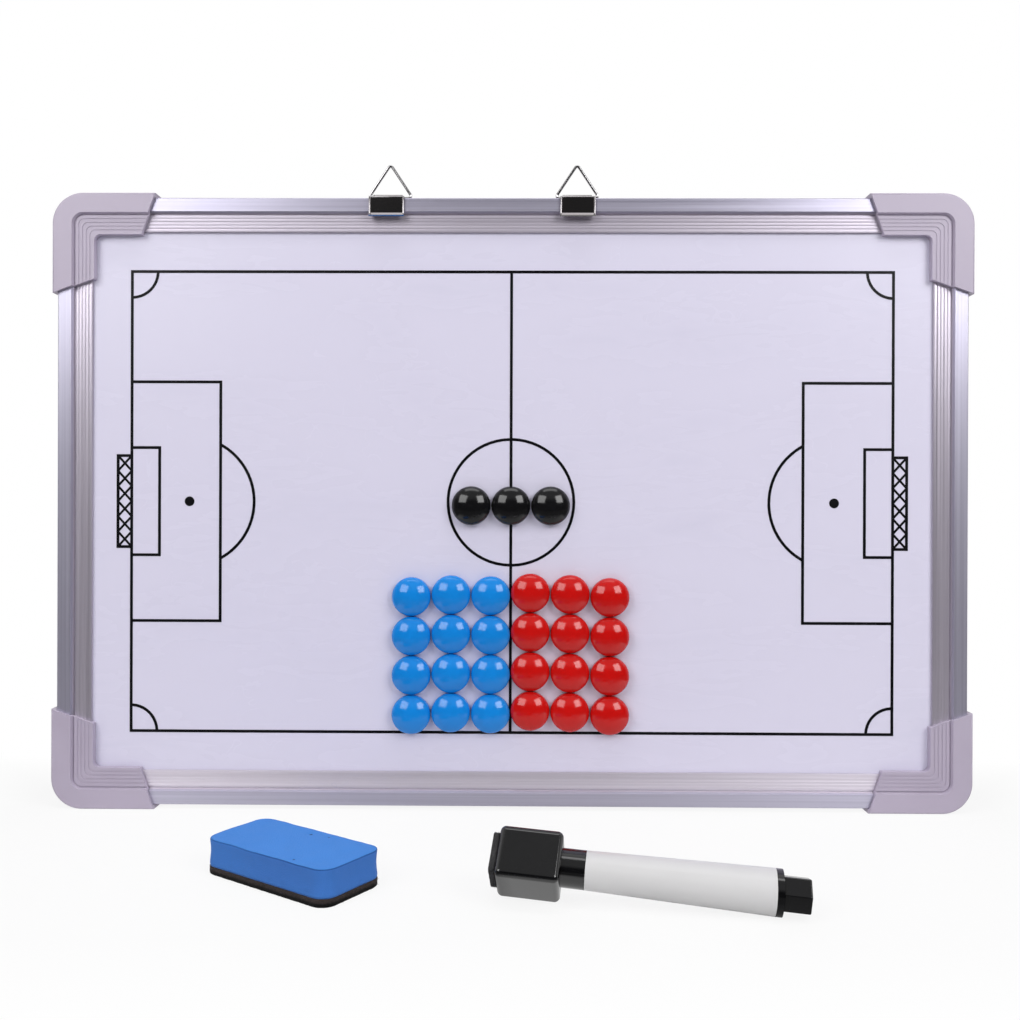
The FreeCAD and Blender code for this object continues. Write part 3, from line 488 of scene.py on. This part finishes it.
@dataclass(frozen=True)
class CounterPlastic:
    """Glossy counter plastic, with the dark ferrite disc showing at the back."""

    title: str
    base: Colour
    shade: Colour
    ferrite: Colour = (0.030, 0.030, 0.033)
    ferrite_pale: Colour = (0.066, 0.066, 0.0726)
    ferrite_rough: float = 0.7
    disc_share: float = 0.394
    back_share: float = 0.97
    smooth: float = 0.12
    rough: float = 0.19

    def material(self) -> Material:
        """Wire the finish.

        Returns:
            Its material.
        """
        surface = Surface(self.title, {"Specular IOR Level": 0.5})
        place = surface.place()
        grain = surface.effect(MouldedGrain, place, Grain=1300.0)
        marks = surface.effect(HandlingMarks, place, Scale=260.0)
        disc = self.disc(surface)
        tone = surface.blend(grain["Tone"], self.shade, self.base)
        speckle = surface.blend(grain["Height"], self.ferrite, self.ferrite_pale)
        colour = surface.blend(disc, tone, speckle)
        worn = surface.plus(marks["Mask"], grain["Tone"], 0.3)
        gloss = surface.ramp(worn, 0.0, 1.3, self.smooth, self.rough)
        rough = surface.math("MAXIMUM", gloss, surface.math("MULTIPLY", disc, self.ferrite_rough))
        return surface.finish(colour, rough, grain["Tone"], depth=0.00004, shown=0.25)

    def disc(self, surface: Surface) -> Socket:
        """Find the ferrite disc in the piece's own box.

        Args:
            surface: The material under way.

        Returns:
            1 on the disc's face and 0 elsewhere.
        """
        share = surface.axes("Generated")
        across, up = (surface.math("SUBTRACT", share[axis], 0.5) for axis in "XZ")
        squares = surface.plus(surface.math("MULTIPLY", across, across), up, up)
        inside = surface.math("LESS_THAN", squares, self.disc_share**2)
        at_back = surface.math("GREATER_THAN", share["Y"], self.back_share)
        return surface.math("MULTIPLY", inside, at_back)


@dataclass(frozen=True)
class CellFoam:
    """Cut closed-cell foam: fine cells, painted shade on its sides, a dark line round the top, open pits."""

    pits: tuple[tuple[Vector, float], ...]
    title: str = "eraser_foam"
    base: Colour = (0.058, 0.240, 0.670)
    shade: Colour = (0.048, 0.206, 0.600)
    # painted shade: the cut sides take a darker colour than the top, for how the light falls on them
    side: Colour = (0.046, 0.165, 0.510)
    rim: Colour = (0.015, 0.068, 0.250)
    pit: Colour = (0.008, 0.024, 0.080)
    smooth: float = 0.62
    rough: float = 0.85

    def material(self) -> Material:
        """Wire the finish.

        Returns:
            Its material.
        """
        surface = Surface(self.title, {"Sheen Weight": 0.04, "Specular IOR Level": 0.2})
        place = surface.place()
        cells = surface.cells(place, 2600.0)
        grain = surface.effect(MouldedGrain, place, Grain=1800.0)
        upward = surface.axes("Normal")["Z"]
        # painted shade: faces that turn away from the top take the darker side colour
        tone = surface.blend(surface.ramp(upward, 0.25, 0.75), self.side, self.base)
        off_top = surface.ramp(upward, 0.70, 0.95, 1.0, 0.0)
        rim = surface.math("MULTIPLY", surface.ramp(upward, 0.10, 0.35), off_top)
        tone = surface.blend(rim, tone, self.rim)
        walls = surface.math("MULTIPLY", surface.ramp(cells, 0.25, 0.75), grain["Tone"])
        tone = surface.blend(surface.math("MULTIPLY", walls, 0.5), tone, self.shade)
        colour = surface.blend(self.open_pits(surface, place), tone, self.pit)
        rough = surface.ramp(cells, 0.0, 0.8, self.smooth, self.rough)
        height = surface.math("ADD", cells, grain["Height"])
        return surface.finish(colour, rough, height, depth=0.00012, shown=0.5)

    def open_pits(self, surface: Surface, place: Socket) -> Socket:
        """Find the open pits.

        Args:
            surface: The material under way.
            place: The piece's own coordinates.

        Returns:
            1 inside a pit and 0 elsewhere.
        """
        mask: object = 0.0
        for centre, size in self.pits:
            inside = surface.ramp(surface.away(place, centre), size * 0.45, size * 0.9, 1.0, 0.0)
            mask = surface.math("MAXIMUM", inside, mask)
        return mask


@dataclass(frozen=True)
class MattedFibre:
    """Matted fibre: wiping pads, nib, ink rod and the panel's pressed board."""

    title: str
    base: Colour
    tip: Colour
    scale: float = 1500.0
    stretch: Point = (1.0, 1.0, 1.0)
    # painted shade on the pad's foot: how high it reaches, as a share of the height, and its colour
    foot_shade_reach: float = 0.0
    ink: Colour = (0.003, 0.003, 0.003)
    ragged: float = 0.12
    smooth: float = 0.85
    rough: float = 0.98
    sheen: float = 0.04
    shine: float = 0.15
    depth: float = 0.0003
    shown: float = 0.8

    def material(self) -> Material:
        """Wire the finish.

        Returns:
            Its material.
        """
        sheen = {"Sheen Weight": self.sheen, "Sheen Roughness": 0.6}
        surface = Surface(self.title, {**sheen, "Specular IOR Level": self.shine})
        fibres = surface.effect(FeltFibres, surface.place(self.stretch), Scale=self.scale)
        colour = surface.blend(fibres["Tone"], self.base, self.tip)
        # painted shade: the pad's lower part darkened, standing in for its shadow on the floor
        if self.foot_shade_reach:
            colour = surface.blend(self.painted_shade_foot(surface, fibres["Height"]), colour, self.ink)
        rough = surface.mix(fibres["Tone"], self.smooth, self.rough)
        return surface.finish(colour, rough, fibres["Height"], self.depth, self.shown)

    def painted_shade_foot(self, surface: Surface, strands: Socket) -> Socket:
        """Find the pad's foot, darkened with painted shade, by the share of the pad's height.

        Args:
            surface: The material under way.
            strands: Breaks up the shade's edge.

        Returns:
            1 at the foot and 0 above it.
        """
        uneven = surface.ramp(strands, 0.3, 0.7, -self.ragged, self.ragged)
        height = surface.math("ADD", surface.axes("Generated")["Z"], uneven)
        return surface.ramp(height, self.foot_shade_reach * 0.6, self.foot_shade_reach, 1.0, 0.0)


# Pieces


def dress(finish: Finish, *nodes: str) -> None:
    """Give CAD nodes one finish.

    Args:
        finish: The finish.
        nodes: The nodes' names.
    """
    material = finish.material()
    for name in nodes:
        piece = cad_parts[name]
        piece.data.materials.clear()
        piece.data.materials.append(material)
        log.info("%s takes the finish %s", name, material.name)


def ease_edges(width: float, *nodes: str) -> None:
    """Ease the sharp edges of CAD nodes with modifiers.

    Args:
        width: Width of the eased edge.
        nodes: The nodes' names.
    """
    for name in nodes:
        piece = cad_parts[name]
        weld = piece.modifiers.new("join_faces", "WELD")
        weld.merge_threshold = WELD_GAP
        bevel = piece.modifiers.new("eased_edges", "BEVEL")
        bevel.width = width
        bevel.segments = 2
        bevel.limit_method = "ANGLE"
        bevel.angle_limit = SHARP_ANGLE
        bevel.harden_normals = True


def mesh_piece(name: str, points: list[Vector], faces: list[Face]) -> Piece:
    """Make a smooth mesh piece.

    Args:
        name: The piece's name.
        points: Its points.
        faces: Its faces, as places in the points.

    Returns:
        The new object.
    """
    mesh = bpy.data.meshes.new(name)
    mesh.from_pydata(points, [], faces)
    mesh.update()
    mesh.shade_smooth()
    piece = bpy.data.objects.new(name, mesh)
    bpy.context.scene.collection.objects.link(piece)
    return piece


def stacked_faces(levels: int, count: int) -> list[Face]:
    """Join loops of equal length into a closed skin.

    Args:
        levels: How many loops.
        count: Points in each.

    Returns:
        The faces, with the two end loops closed.
    """
    faces: list[Face] = []
    for low in range(0, (levels - 1) * count, count):
        high = low + count
        for step in range(count):
            after = (step + 1) % count
            faces.append((low + step, low + after, high + after, high + step))
    faces.append(tuple(range(count - 1, -1, -1)))
    faces.append(tuple(range((levels - 1) * count, levels * count)))
    return faces


def ripple(point: Vector, scale: float, depth: float, seed: float) -> float:
    """Smooth unevenness at a point, by features per metre, largest rise and pattern."""
    return depth * noise.noise(point * scale + Vector((seed, seed * 0.7, -seed)))


@dataclass(frozen=True)
class PadSkin:
    """Rounded outline and skin that the eraser's foam and the felt pads share."""

    length: float
    width: float
    corner: float
    runs: tuple[int, int] = (26, 52)
    turn: int = 9
    middle_gap: float = 0.002
    least_corner: float = 0.0002

    def loop(self, inset: float, height: float) -> list[Vector]:
        """Walk round the outline drawn in by an inset, with the same points on each run and corner.

        Args:
            inset: How far in.
            height: Its level.

        Returns:
            The loop, anticlockwise from the right-hand side.
        """
        radius = max(self.corner - inset, self.least_corner)
        reach_x, reach_y = (size / 2 - inset - radius for size in (self.length, self.width))
        arcs: list[list[Vector]] = []
        for quarter, (side_x, side_y) in enumerate(((1, 1), (-1, 1), (-1, -1), (1, -1))):
            centre = Vector((side_x * reach_x, side_y * reach_y, height))
            arcs.append([])
            for step in range(self.turn):
                angle = QUARTER_TURN * (quarter + step / (self.turn - 1))
                arcs[-1].append(centre + radius * Vector((math.cos(angle), math.sin(angle), 0.0)))
        loop: list[Vector] = []
        for quarter, arc in enumerate(arcs):
            count = self.runs[1 - quarter % 2]
            following = arcs[(quarter + 1) % len(arcs)][0]
            loop += arc + [arc[-1].lerp(following, step / count) for step in range(1, count)]
        return loop

    def skin(self, levels: list[Span]) -> tuple[list[Vector], list[Face]]:
        """Skin through a stack of outlines.

        Args:
            levels: Inset and height of each outline, from the bottom up.

        Returns:
            Points and faces.
        """
        loops = [self.loop(inset, height) for inset, height in levels]
        points = [point for loop in loops for point in loop]
        return points, stacked_faces(len(loops), len(loops[0]))

    def closed(self, height: float) -> list[Span]:
        """List the two innermost outlines that close an end of the skin at a height."""
        return [(self.width / 2 - self.middle_gap, height), (self.width / 4, height)]

    def outward(self, point: Vector) -> Vector:
        """Point away from the middle, in shares of the length and width."""
        return Vector((point.x / self.length, point.y / self.width, 0.0))


@dataclass
class FeltPad:
    """A slab of felt with ragged edges and loose fibres round its side."""

    skin: PadSkin
    thickness: float
    fibres: int
    seed: int
    lower_inset: float = 0.0004
    lower_rise: float = 0.0003
    upper_inset: float = 0.0002
    side_shares: tuple[float, ...] = (0.3, 0.5, 0.7, 0.88)
    ragged: float = 0.00018
    strand: float = 0.000035
    taper: float = 0.35
    root_margin: float = 0.0002
    strand_margin: float = 0.00004
    reach: Span = (0.0004, 0.0010)
    bend: float = 0.0002

    def build(self, name: str, place: Matrix) -> Piece:
        """Build the slab and its loose fibres as one piece.

        Args:
            name: The piece's name.
            place: Where the slab's underside is.

        Returns:
            The new object.
        """
        top = self.thickness
        levels = self.skin.closed(0.0) + [(self.lower_inset, 0.0), (0.0, self.lower_rise)]
        levels += [(0.0, top * share) for share in self.side_shares]
        levels += [(self.upper_inset, top), *reversed(self.skin.closed(top))]
        points, faces = self.skin.skin(levels)
        points = [self.roughen(point) for point in points]
        self.add_fibres(points, faces)
        return mesh_piece(name, [place @ point for point in points], faces)

    def roughen(self, point: Vector) -> Vector:
        """Shift a point of the side a little in or out.

        Args:
            point: The smooth point.

        Returns:
            The shifted point.
        """
        outward = self.skin.outward(point)
        if max(abs(outward.x), abs(outward.y)) < 0.4:
            return point
        coarse = ripple(point, 700.0, self.ragged, self.seed)
        fine = ripple(point, 2100.0, self.ragged * 0.7, self.seed)
        return point + outward.normalized() * (coarse + fine - self.ragged * 0.5)

    def add_fibres(self, points: list[Vector], faces: list[Face]) -> None:
        """Add loose fibres to the side's skin.

        Args:
            points: The points so far, which grow.
            faces: The faces so far, which grow.
        """
        chance = random.Random(self.seed)
        side = self.skin.loop(self.root_margin, 0.0)
        for _ in range(self.fibres):
            root = side[chance.randrange(len(side))].copy()
            root.z = chance.uniform(self.root_margin, self.thickness - self.root_margin)
            outward = self.skin.outward(root).normalized()
            along = Vector((-outward.y, outward.x, 0.0)) * chance.uniform(-1.2, 1.2)
            lean = outward * 0.5 + along + Vector((0.0, 0.0, chance.uniform(-0.5, 0.5)))
            reach = lean.normalized() * chance.uniform(*self.reach)
            bend = Vector((0.0, 0.0, chance.uniform(-self.bend, self.bend)))
            self.add_strand(points, faces, [root, root + reach * 0.5 + bend, root + reach])

    def add_strand(self, points: list[Vector], faces: list[Face], line: list[Vector]) -> None:
        """Add one three-sided strand.

        Args:
            points: The points so far, which grow.
            faces: The faces so far, which grow.
            line: The strand's centre line.
        """
        start = len(points)
        for number, centre in enumerate(line):
            thickness = self.strand * (1.0 - self.taper * number)
            for corner in range(3):
                angle = 2 * math.pi * corner / 3
                rim = Vector((math.cos(angle), math.sin(angle), math.sin(angle + 1.0)))
                point = centre + rim * thickness
                point.z = min(max(point.z, self.strand_margin), self.thickness - self.strand_margin)
                points.append(point)
        faces.extend(tuple(start + place for place in face) for face in stacked_faces(len(line), 3))


@dataclass
class BoardFrame:
    """The four rails, the corner caps over their ends and the caps' screws."""

    caps: tuple[str, ...] = (
        "top_left_corner_cap", "top_right_corner_cap", "bottom_left_corner_cap", "bottom_right_corner_cap",
    )
    eased: float = 0.0002
    ridged_from: float = 0.0604
    groove: float = 0.0001
    low: Colour = (0.40, 0.382, 0.485)
    high: Colour = (0.56, 0.538, 0.655)

    def aluminium(self, title: str, run: Run, **changes: object) -> DrawnMetal:
        """Make the finish of a rail, with what differs from the other rails."""
        values = {"groove": self.groove, "ridged_from": self.ridged_from, **changes}
        return DrawnMetal(title, self.low, self.high, run.value, **values)

    def dress(self) -> None:
        """Give the frame's nodes their finishes and ease the caps' edges."""
        dress(self.aluminium("rail_aluminium_upright", Run.UPRIGHT), "left_rail", "right_rail")
        head = self.aluminium("rail_aluminium_level", Run.LEVEL, smooth=0.29, rough=0.42, ridge_rough=0.10)
        dress(head, "top_rail")
        # the bottom rail is rougher and spreads its reflections across; its ridged zone takes much lighter
        # colours as painted light
        worn = self.aluminium(
            "rail_aluminium_foot", Run.LEVEL, smooth=0.36, rough=0.50, groove=0.00008, spread=0.75,
            ridge_low=(0.60, 0.552, 0.635), ridge_high=(0.80, 0.745, 0.835),
        )
        dress(worn, "bottom_rail")
        plastic = MouldedPlastic(
            "corner_plastic", base=(0.462, 0.408, 0.512), shade=(0.438, 0.384, 0.486),
            dust=(0.57, 0.54, 0.59), smooth=0.36, rough=0.50,
        )
        dress(plastic, *self.caps)
        ease_edges(self.eased, *self.caps)
        zinc = DrawnMetal("screw_steel", (0.42, 0.42, 0.43), (0.62, 0.62, 0.63), (700.0, 700.0, 700.0))
        dress(zinc, "corner_screws")


@dataclass
class WritingPanel:
    """The enamelled face with its printed pitch, the core and the sheet at the back."""

    def dress(self) -> None:
        """Give the panel's nodes their finishes."""
        dress(WritingEnamel(), "face_sheet")
        dress(PrintedInk(), "pitch_print")
        core = MattedFibre(
            "core_board", base=(0.34, 0.25, 0.16), tip=(0.56, 0.44, 0.30), scale=1100.0,
            stretch=(1.0, 4.0, 1.0), smooth=0.75, rough=0.92, sheen=0.0, shine=0.5, depth=0.0001, shown=0.6,
        )
        dress(core, "panel_core")
        back = DrawnMetal(
            "back_steel", low=(0.44, 0.45, 0.47), high=(0.54, 0.55, 0.57), stretch=(60.0, 60.0, 60.0),
            smooth=0.38, rough=0.55, metallic=0.55, groove=0.00002,
        )
        dress(back, "back_sheet")


@dataclass
class Hangers:
    """The two plated clips on the top rail and their wire rings."""

    clips: tuple[str, ...] = ("left_hanger_clip", "right_hanger_clip")
    rings: tuple[str, ...] = ("left_hanger_ring", "right_hanger_ring")
    eased: float = 0.00022

    def dress(self) -> None:
        """Give clips and rings their finishes and ease the clips' cut edges."""
        dress(BrightPlate("hanger_chrome", (0.37, 0.352, 0.36), (0.31, 0.297, 0.30), rough=0.20), *self.clips)
        dress(BrightPlate("ring_wire", (0.62, 0.61, 0.62), (0.48, 0.47, 0.48), rough=0.22), *self.rings)
        ease_edges(self.eased, *self.clips)


@dataclass
class Counters:
    """The magnetic counters of each team."""

    def dress(self) -> None:
        """Give each team's counters its plastic."""
        for team in Team:
            word, count, base, shade = team.value
            nodes = [f"{word}_counter_{number + 1}" for number in range(count)]
            dress(CounterPlastic(f"{word}_plastic", base, shade), *nodes)


@dataclass
class Eraser:
    """The foam block with drawn-in sides and the felt under it."""

    skin: PadSkin = PadSkin(length=0.0685, width=0.0330, corner=0.0065)
    foam: float = 0.0111
    felt: float = 0.0033
    foot_inset: float = 0.0003
    waist: float = 0.0004
    edge: float = 0.0006
    middle_gap: float = 0.0012
    side_loops: int = 12
    edge_loops: int = 6
    top_loops: int = 14
    crowding: float = 1.15
    yaw: float = math.radians(-33.9)
    wave: float = 0.00028
    pits: tuple[Point, ...] = ((-0.0013, 0.0115, 0.0011), (0.0076, 0.0127, 0.0007), (0.0148, -0.0132, 0.0008))

    def build(self) -> None:
        """Build foam and felt in place of their nodes, where the felt's node lies."""
        low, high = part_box("eraser_felt")
        middle, top = (low + high) / 2, self.felt + self.foam
        place = Matrix.Translation((middle.x, middle.y, 0.0)) @ Matrix.Rotation(self.yaw, 4, "Z")
        foam = self.build_foam(place)
        pits = tuple((place @ Vector((along, across, top)), size) for along, across, size in self.pits)
        foam.data.materials.append(CellFoam(pits).material())
        felt = FeltPad(self.skin, self.felt, fibres=1500, seed=5).build("eraser_felt_pad", place)
        # the felt's lower part takes painted shade
        matted = MattedFibre("eraser_felt", (0.016, 0.0125, 0.0120), (0.078, 0.059, 0.056), foot_shade_reach=0.66)
        felt.data.materials.append(matted.material())
        for piece, node, fill in ((foam, "eraser_foam", 0.95), (felt, "eraser_felt", 0.9)):
            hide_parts(node)
            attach(piece, "eraser")
            log.info("%s stands for %s", piece.name, node)

    def build_foam(self, place: Matrix) -> Piece:
        """Build the foam block.

        Args:
            place: The eraser's frame on the floor.

        Returns:
            The new object.
        """
        low, high = self.felt, self.felt + self.foam
        levels = self.skin.closed(low) + [(self.foot_inset, low)]
        straight = high - self.edge - low
        for share in (step / self.side_loops for step in range(1, self.side_loops)):
            levels.append((self.waist * math.sin(math.pi * share), low + straight * share))
        for angle in (QUARTER_TURN * step / (self.edge_loops - 1) for step in range(self.edge_loops)):
            levels.append((self.edge * (1 - math.cos(angle)), high - self.edge * (1 - math.sin(angle))))
        rest = self.skin.width / 2 - self.edge - self.middle_gap
        shares = [(step / self.top_loops) ** self.crowding for step in range(1, self.top_loops + 1)]
        levels += [(self.edge + rest * share, high) for share in shares]
        points, faces = self.skin.skin(levels)
        return mesh_piece("eraser_foam_block", [place @ self.uneven(point) for point in points], faces)

    def uneven(self, point: Vector) -> Vector:
        """Give one point of the foam its cut unevenness and pits.

        Args:
            point: The smooth point.

        Returns:
            The uneven point.
        """
        height = (point.z - self.felt) / self.foam
        outward = self.skin.outward(point)
        rim = max(abs(outward.x), abs(outward.y)) * 2
        moved = point.copy()
        if rim > 0.8:
            sway = ripple(point, 90.0, self.wave, 3.0) + ripple(point, 330.0, self.wave * 0.45, 8.0)
            moved += outward.normalized() * (sway - self.wave * 0.4) * min(1.0, height * 2 + 0.2)
        if height > 0.85:
            moved.z += ripple(point, 120.0, self.wave * 0.6, 1.0) - self.wave * 0.4
            for along, across, size in self.pits:
                distance = math.hypot(point.x - along, point.y - across) / size
                moved.z -= size * 0.5 * math.exp(-(distance**2))
        return moved


@dataclass
class Marker:
    """The marker on the table: white barrel, black cap and plug, and the felt on the cap's end."""

    skin: PadSkin = PadSkin(length=0.0156, width=0.0156, corner=0.0015, runs=(18, 18), turn=6)
    felt: float = 0.0025
    yaw: float = math.radians(-8.0)
    tilt: float = math.radians(3.343)
    roll: float = math.radians(45.0)

    def felt_place(self) -> Matrix:
        """Find the felt's seat on the cap's end.

        Returns:
            A frame with its third axis out of the cap's end, on the felt's inner face.
        """
        low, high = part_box("marker_cap_felt")
        place = Matrix.Translation((low + high) / 2)
        for angle, axis in ((self.yaw, "Z"), (self.tilt, "Y"), (self.roll, "X"), (-QUARTER_TURN, "Y")):
            place = place @ Matrix.Rotation(angle, 4, axis)
        return place @ Matrix.Translation((0, 0, -self.felt / 2))

    def dress(self) -> None:
        """Give the marker's CAD nodes their finishes."""
        white = MouldedPlastic(
            "marker_white", base=(0.66, 0.655, 0.66), shade=(0.64, 0.635, 0.64), dust=(0.60, 0.59, 0.58),
            smooth=0.26, rough=0.42, grain=1500.0, grain_depth=0.00001, dust_amount=0.06,
        )
        black = MouldedPlastic(
            "marker_black", base=(0.0030, 0.0030, 0.0037), shade=(0.0022, 0.0022, 0.0028),
            dust=(0.05, 0.05, 0.05), dust_amount=0.04, smooth=0.07, rough=0.13, shine=0.7,
            grain=1900.0, grain_depth=0.00001,
        )
        dress(white, "marker_barrel")
        dress(black, "marker_nose", "marker_end_plug", "marker_cap")
        dress(MattedFibre("nib_fibre", (0.006, 0.006, 0.007), (0.03, 0.03, 0.032), scale=2600.0), "marker_nib")
        rod = MattedFibre("ink_fibre", (0.02, 0.02, 0.026), (0.07, 0.07, 0.08), scale=2000.0)
        dress(rod, "marker_ink_reservoir")

    def build(self) -> None:
        """Dress the marker's nodes and build the felt in place of its node."""
        self.dress()
        felt = FeltPad(self.skin, self.felt, fibres=500, seed=11).build("marker_cap_pad", self.felt_place())
        matted = MattedFibre("cap_felt", (0.018, 0.018, 0.020), (0.085, 0.083, 0.085))
        felt.data.materials.append(matted.material())
        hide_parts("marker_cap_felt")
        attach(felt, "marker_cap")
        log.info("%s stands for marker_cap_felt", felt.name)


# Studio


@dataclass
class Softbox:
    """One soft lamp, which polished faces show unless it is a fill."""

    name: str
    place: Point
    aim: Point
    size: Span
    power: float
    mirrored: bool = True

    def build(self) -> None:
        """Hang the lamp."""
        lamp = bpy.data.lights.new(self.name, "AREA")
        lamp.shape = "RECTANGLE"
        lamp.size, lamp.size_y = self.size
        lamp.energy = self.power
        hung = bpy.data.objects.new(self.name, lamp)
        hung.location = self.place
        hung.rotation_mode = "QUATERNION"
        hung.rotation_quaternion = (Vector(self.aim) - Vector(self.place)).to_track_quat("-Z", "Y")
        hung.visible_camera = False
        hung.visible_glossy = self.mirrored
        bpy.context.scene.collection.objects.link(hung)


@dataclass
class Studio:
    """Pale floor, soft lamps in a dim room, a white backdrop, and the camera.

    A span is where one level goes over to the next, along a way in the room or in metres of floor.
    """

    floor_low: Span = (-1.6, -0.26)
    floor_high: Span = (1.6, 2.4)
    floor_tone: float = 0.76
    speckle: float = 1.02
    footprint: Span = (0.24, 0.09)
    fade: float = 0.07
    near_white: float = 0.87
    ambient: float = 0.20
    dim_front: float = 0.03
    dim_above: float = 0.35
    dim_floor: float = 0.12
    near_floor: float = 0.57
    room_above: Span = (0.35, 0.60)
    room_behind: Span = (-0.25, 0.15)
    floor_aside: Span = (0.05, 0.19)
    floor_ends: Span = (0.205, 0.240)
    floor_front: Span = (-0.088, -0.012)
    floor_behind: Span = (0.05, 0.30)
    # painted reflection: a glowing patch of floor under the marker's cap, seen only by polished faces
    under_cap: Point = (0.014, -0.066, 0.0)
    cap_patch: Span = (0.016, 0.034)
    lens: float = 35.0
    sensor: float = 36.0
    nearest: float = 0.01
    eye: Point = (0.00401, -0.42664, 0.14780)
    yaw: float = -9.078e-3
    pitch: float = -1.160e-3
    roll: float = 3.419e-3

    def build(self) -> None:
        """Set up everything round the object."""
        bpy.context.scene.view_settings.view_transform = "Standard"
        self.build_world()
        self.build_floor()
        for lamp in self.lamps():
            lamp.build()
        self.build_camera()

    def lamps(self) -> list[Softbox]:
        """List the lamps.

        Returns:
            Two softboxes at the upper sides, an overhead strip and a fill that polished faces don't show.
        """
        aim = (0.0, 0.05, 0.14)
        overhead = ((0.0, -0.20, 1.15), (0.0, 0.0, 0.10), (0.90, 0.22))
        return [
            Softbox("left_softbox", (-0.56, -0.56, 0.60), aim, (0.56, 0.51), power=4.0),
            Softbox("right_softbox", (0.58, -0.56, 0.60), aim, (0.47, 0.48), power=4.4),
            Softbox("overhead_strip", *overhead, power=1.5),
            Softbox("overhead_fill", *overhead, power=2.8, mirrored=False),
        ]

    @staticmethod
    def mirrored(wiring: Wiring, path: Node) -> Socket:
        """Tell rays that polished or clear faces send on, by the tree's Light Path node."""
        return wiring.math("MAXIMUM", path.outputs["Is Glossy Ray"], path.outputs["Is Transmission Ray"])

    def build_world(self) -> None:
        """Make a white backdrop, which polished faces see behind the object, and a soft fill."""
        world = bpy.data.worlds.new("studio")
        world.use_nodes = True
        bpy.context.scene.world = world
        world.node_tree.nodes.clear()
        wiring = Wiring(world.node_tree)
        path = wiring.add("ShaderNodeLightPath")
        way = wiring.axes("Generated")
        front = wiring.ramp(way["Z"], *self.room_above, self.dim_front, self.dim_above)
        room = wiring.mix(wiring.ramp(way["Y"], *self.room_behind), front, 1.0)
        level = wiring.mix(self.mirrored(wiring, path), self.ambient, room)
        level = wiring.mix(path.outputs["Is Camera Ray"], level, 1.0)
        backdrop = wiring.add("ShaderNodeBackground", {"Color": (1.0, 1.0, 1.0, 1.0), "Strength": level})
        wiring.add("ShaderNodeOutputWorld", {"Surface": backdrop.outputs[0]})

    def build_floor(self) -> None:
        """Lay the pale floor, which fades to the white backdrop away from the object."""
        (left, front), (right, back) = self.floor_low, self.floor_high
        corners = ((left, front), (right, front), (right, back), (left, back))
        floor = mesh_piece("studio_floor", [Vector((*corner, 0.0)) for corner in corners], [(0, 1, 2, 3)])
        surface = Surface("pale_floor", {"Roughness": 0.9, "Specular IOR Level": 0.1})
        pale, paler = ((tone, tone, tone) for tone in (self.floor_tone, self.floor_tone * self.speckle))
        surface.shade({"Base Color": surface.blend(surface.noise(surface.place(), 900.0), pale, paler)})
        path = surface.add("ShaderNodeLightPath")
        mirrored = self.mirrored(surface, path)
        level = surface.mix(mirrored, 1.0, self.mirrored_floor(surface))
        white = surface.add("ShaderNodeEmission", {"Strength": level})
        shown = surface.math("MULTIPLY", path.outputs["Is Camera Ray"], self.white_share(surface))
        share = surface.math("MAXIMUM", shown, mirrored)
        shaders = {0: share, 1: surface.shader.outputs[0], 2: white.outputs[0]}
        mixed = surface.add("ShaderNodeMixShader", shaders)
        sink = next(node for node in surface.tree.nodes if node.type == "OUTPUT_MATERIAL")
        surface.feed(sink.inputs["Surface"], mixed.outputs[0])
        floor.data.materials.append(surface.material)

    def white_share(self, surface: Surface) -> Socket:
        """Find how much of the floor the camera sees as plain white.

        Args:
            surface: The floor's material.

        Returns:
            A share that grows to 1 away from the object's footprint.
        """
        place = surface.axes("Object")
        beyond: list[Socket] = []
        for axis, side in zip("XY", self.footprint):
            beyond.append(surface.math("SUBTRACT", surface.math("ABSOLUTE", place[axis]), side))
        return surface.ramp(surface.math("MAXIMUM", *beyond), 0.0, self.fade, self.near_white, 1.0)

    def mirrored_floor(self, surface: Surface) -> Socket:
        """Find how bright polished faces see the floor.

        Args:
            surface: The floor's material.

        Returns:
            A level that is low in front, higher beside the board and 1 behind it and under the marker's cap.
        """
        place = surface.axes("Object")
        across = surface.math("ABSOLUTE", place["X"])
        aside = surface.ramp(across, *self.floor_aside, self.near_floor, 1.0)
        aside = surface.mix(surface.ramp(across, *self.floor_ends), aside, self.dim_floor)
        near = surface.mix(surface.ramp(place["Y"], *self.floor_front), self.dim_floor, aside)
        # painted reflection: the floor glows under the marker's cap for polished faces, which brightens the
        # cap's lower face
        away = surface.away(surface.place(), self.under_cap)
        near = surface.mix(surface.ramp(away, *self.cap_patch, 1.0, 0.0), near, 1.0)
        return surface.mix(surface.ramp(place["Y"], *self.floor_behind), near, 1.0)

    def build_camera(self) -> None:
        """Place the camera where the photograph was taken."""
        turn = Matrix.Rotation(-self.yaw, 4, "Z") @ Matrix.Rotation(QUARTER_TURN + self.pitch, 4, "X")
        data = bpy.data.cameras.new("camera")
        data.lens = self.lens
        data.sensor_width = self.sensor
        data.clip_start = self.nearest
        camera = bpy.data.objects.new("camera", data)
        camera.matrix_world = Matrix.Translation(self.eye) @ turn @ Matrix.Rotation(self.roll, 4, "Z")
        bpy.context.scene.collection.objects.link(camera)
        bpy.context.scene.camera = camera


def main() -> None:
    """Dress the board and its pieces, then set up the studio."""
    logging.basicConfig(level=logging.INFO, format="%(name)s: %(message)s")
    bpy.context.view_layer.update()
    BoardFrame().dress()
    WritingPanel().dress()
    Hangers().dress()
    Counters().dress()
    Eraser().build()
    Marker().build()
    Studio().build()


if __name__ == "__main__":
    main()
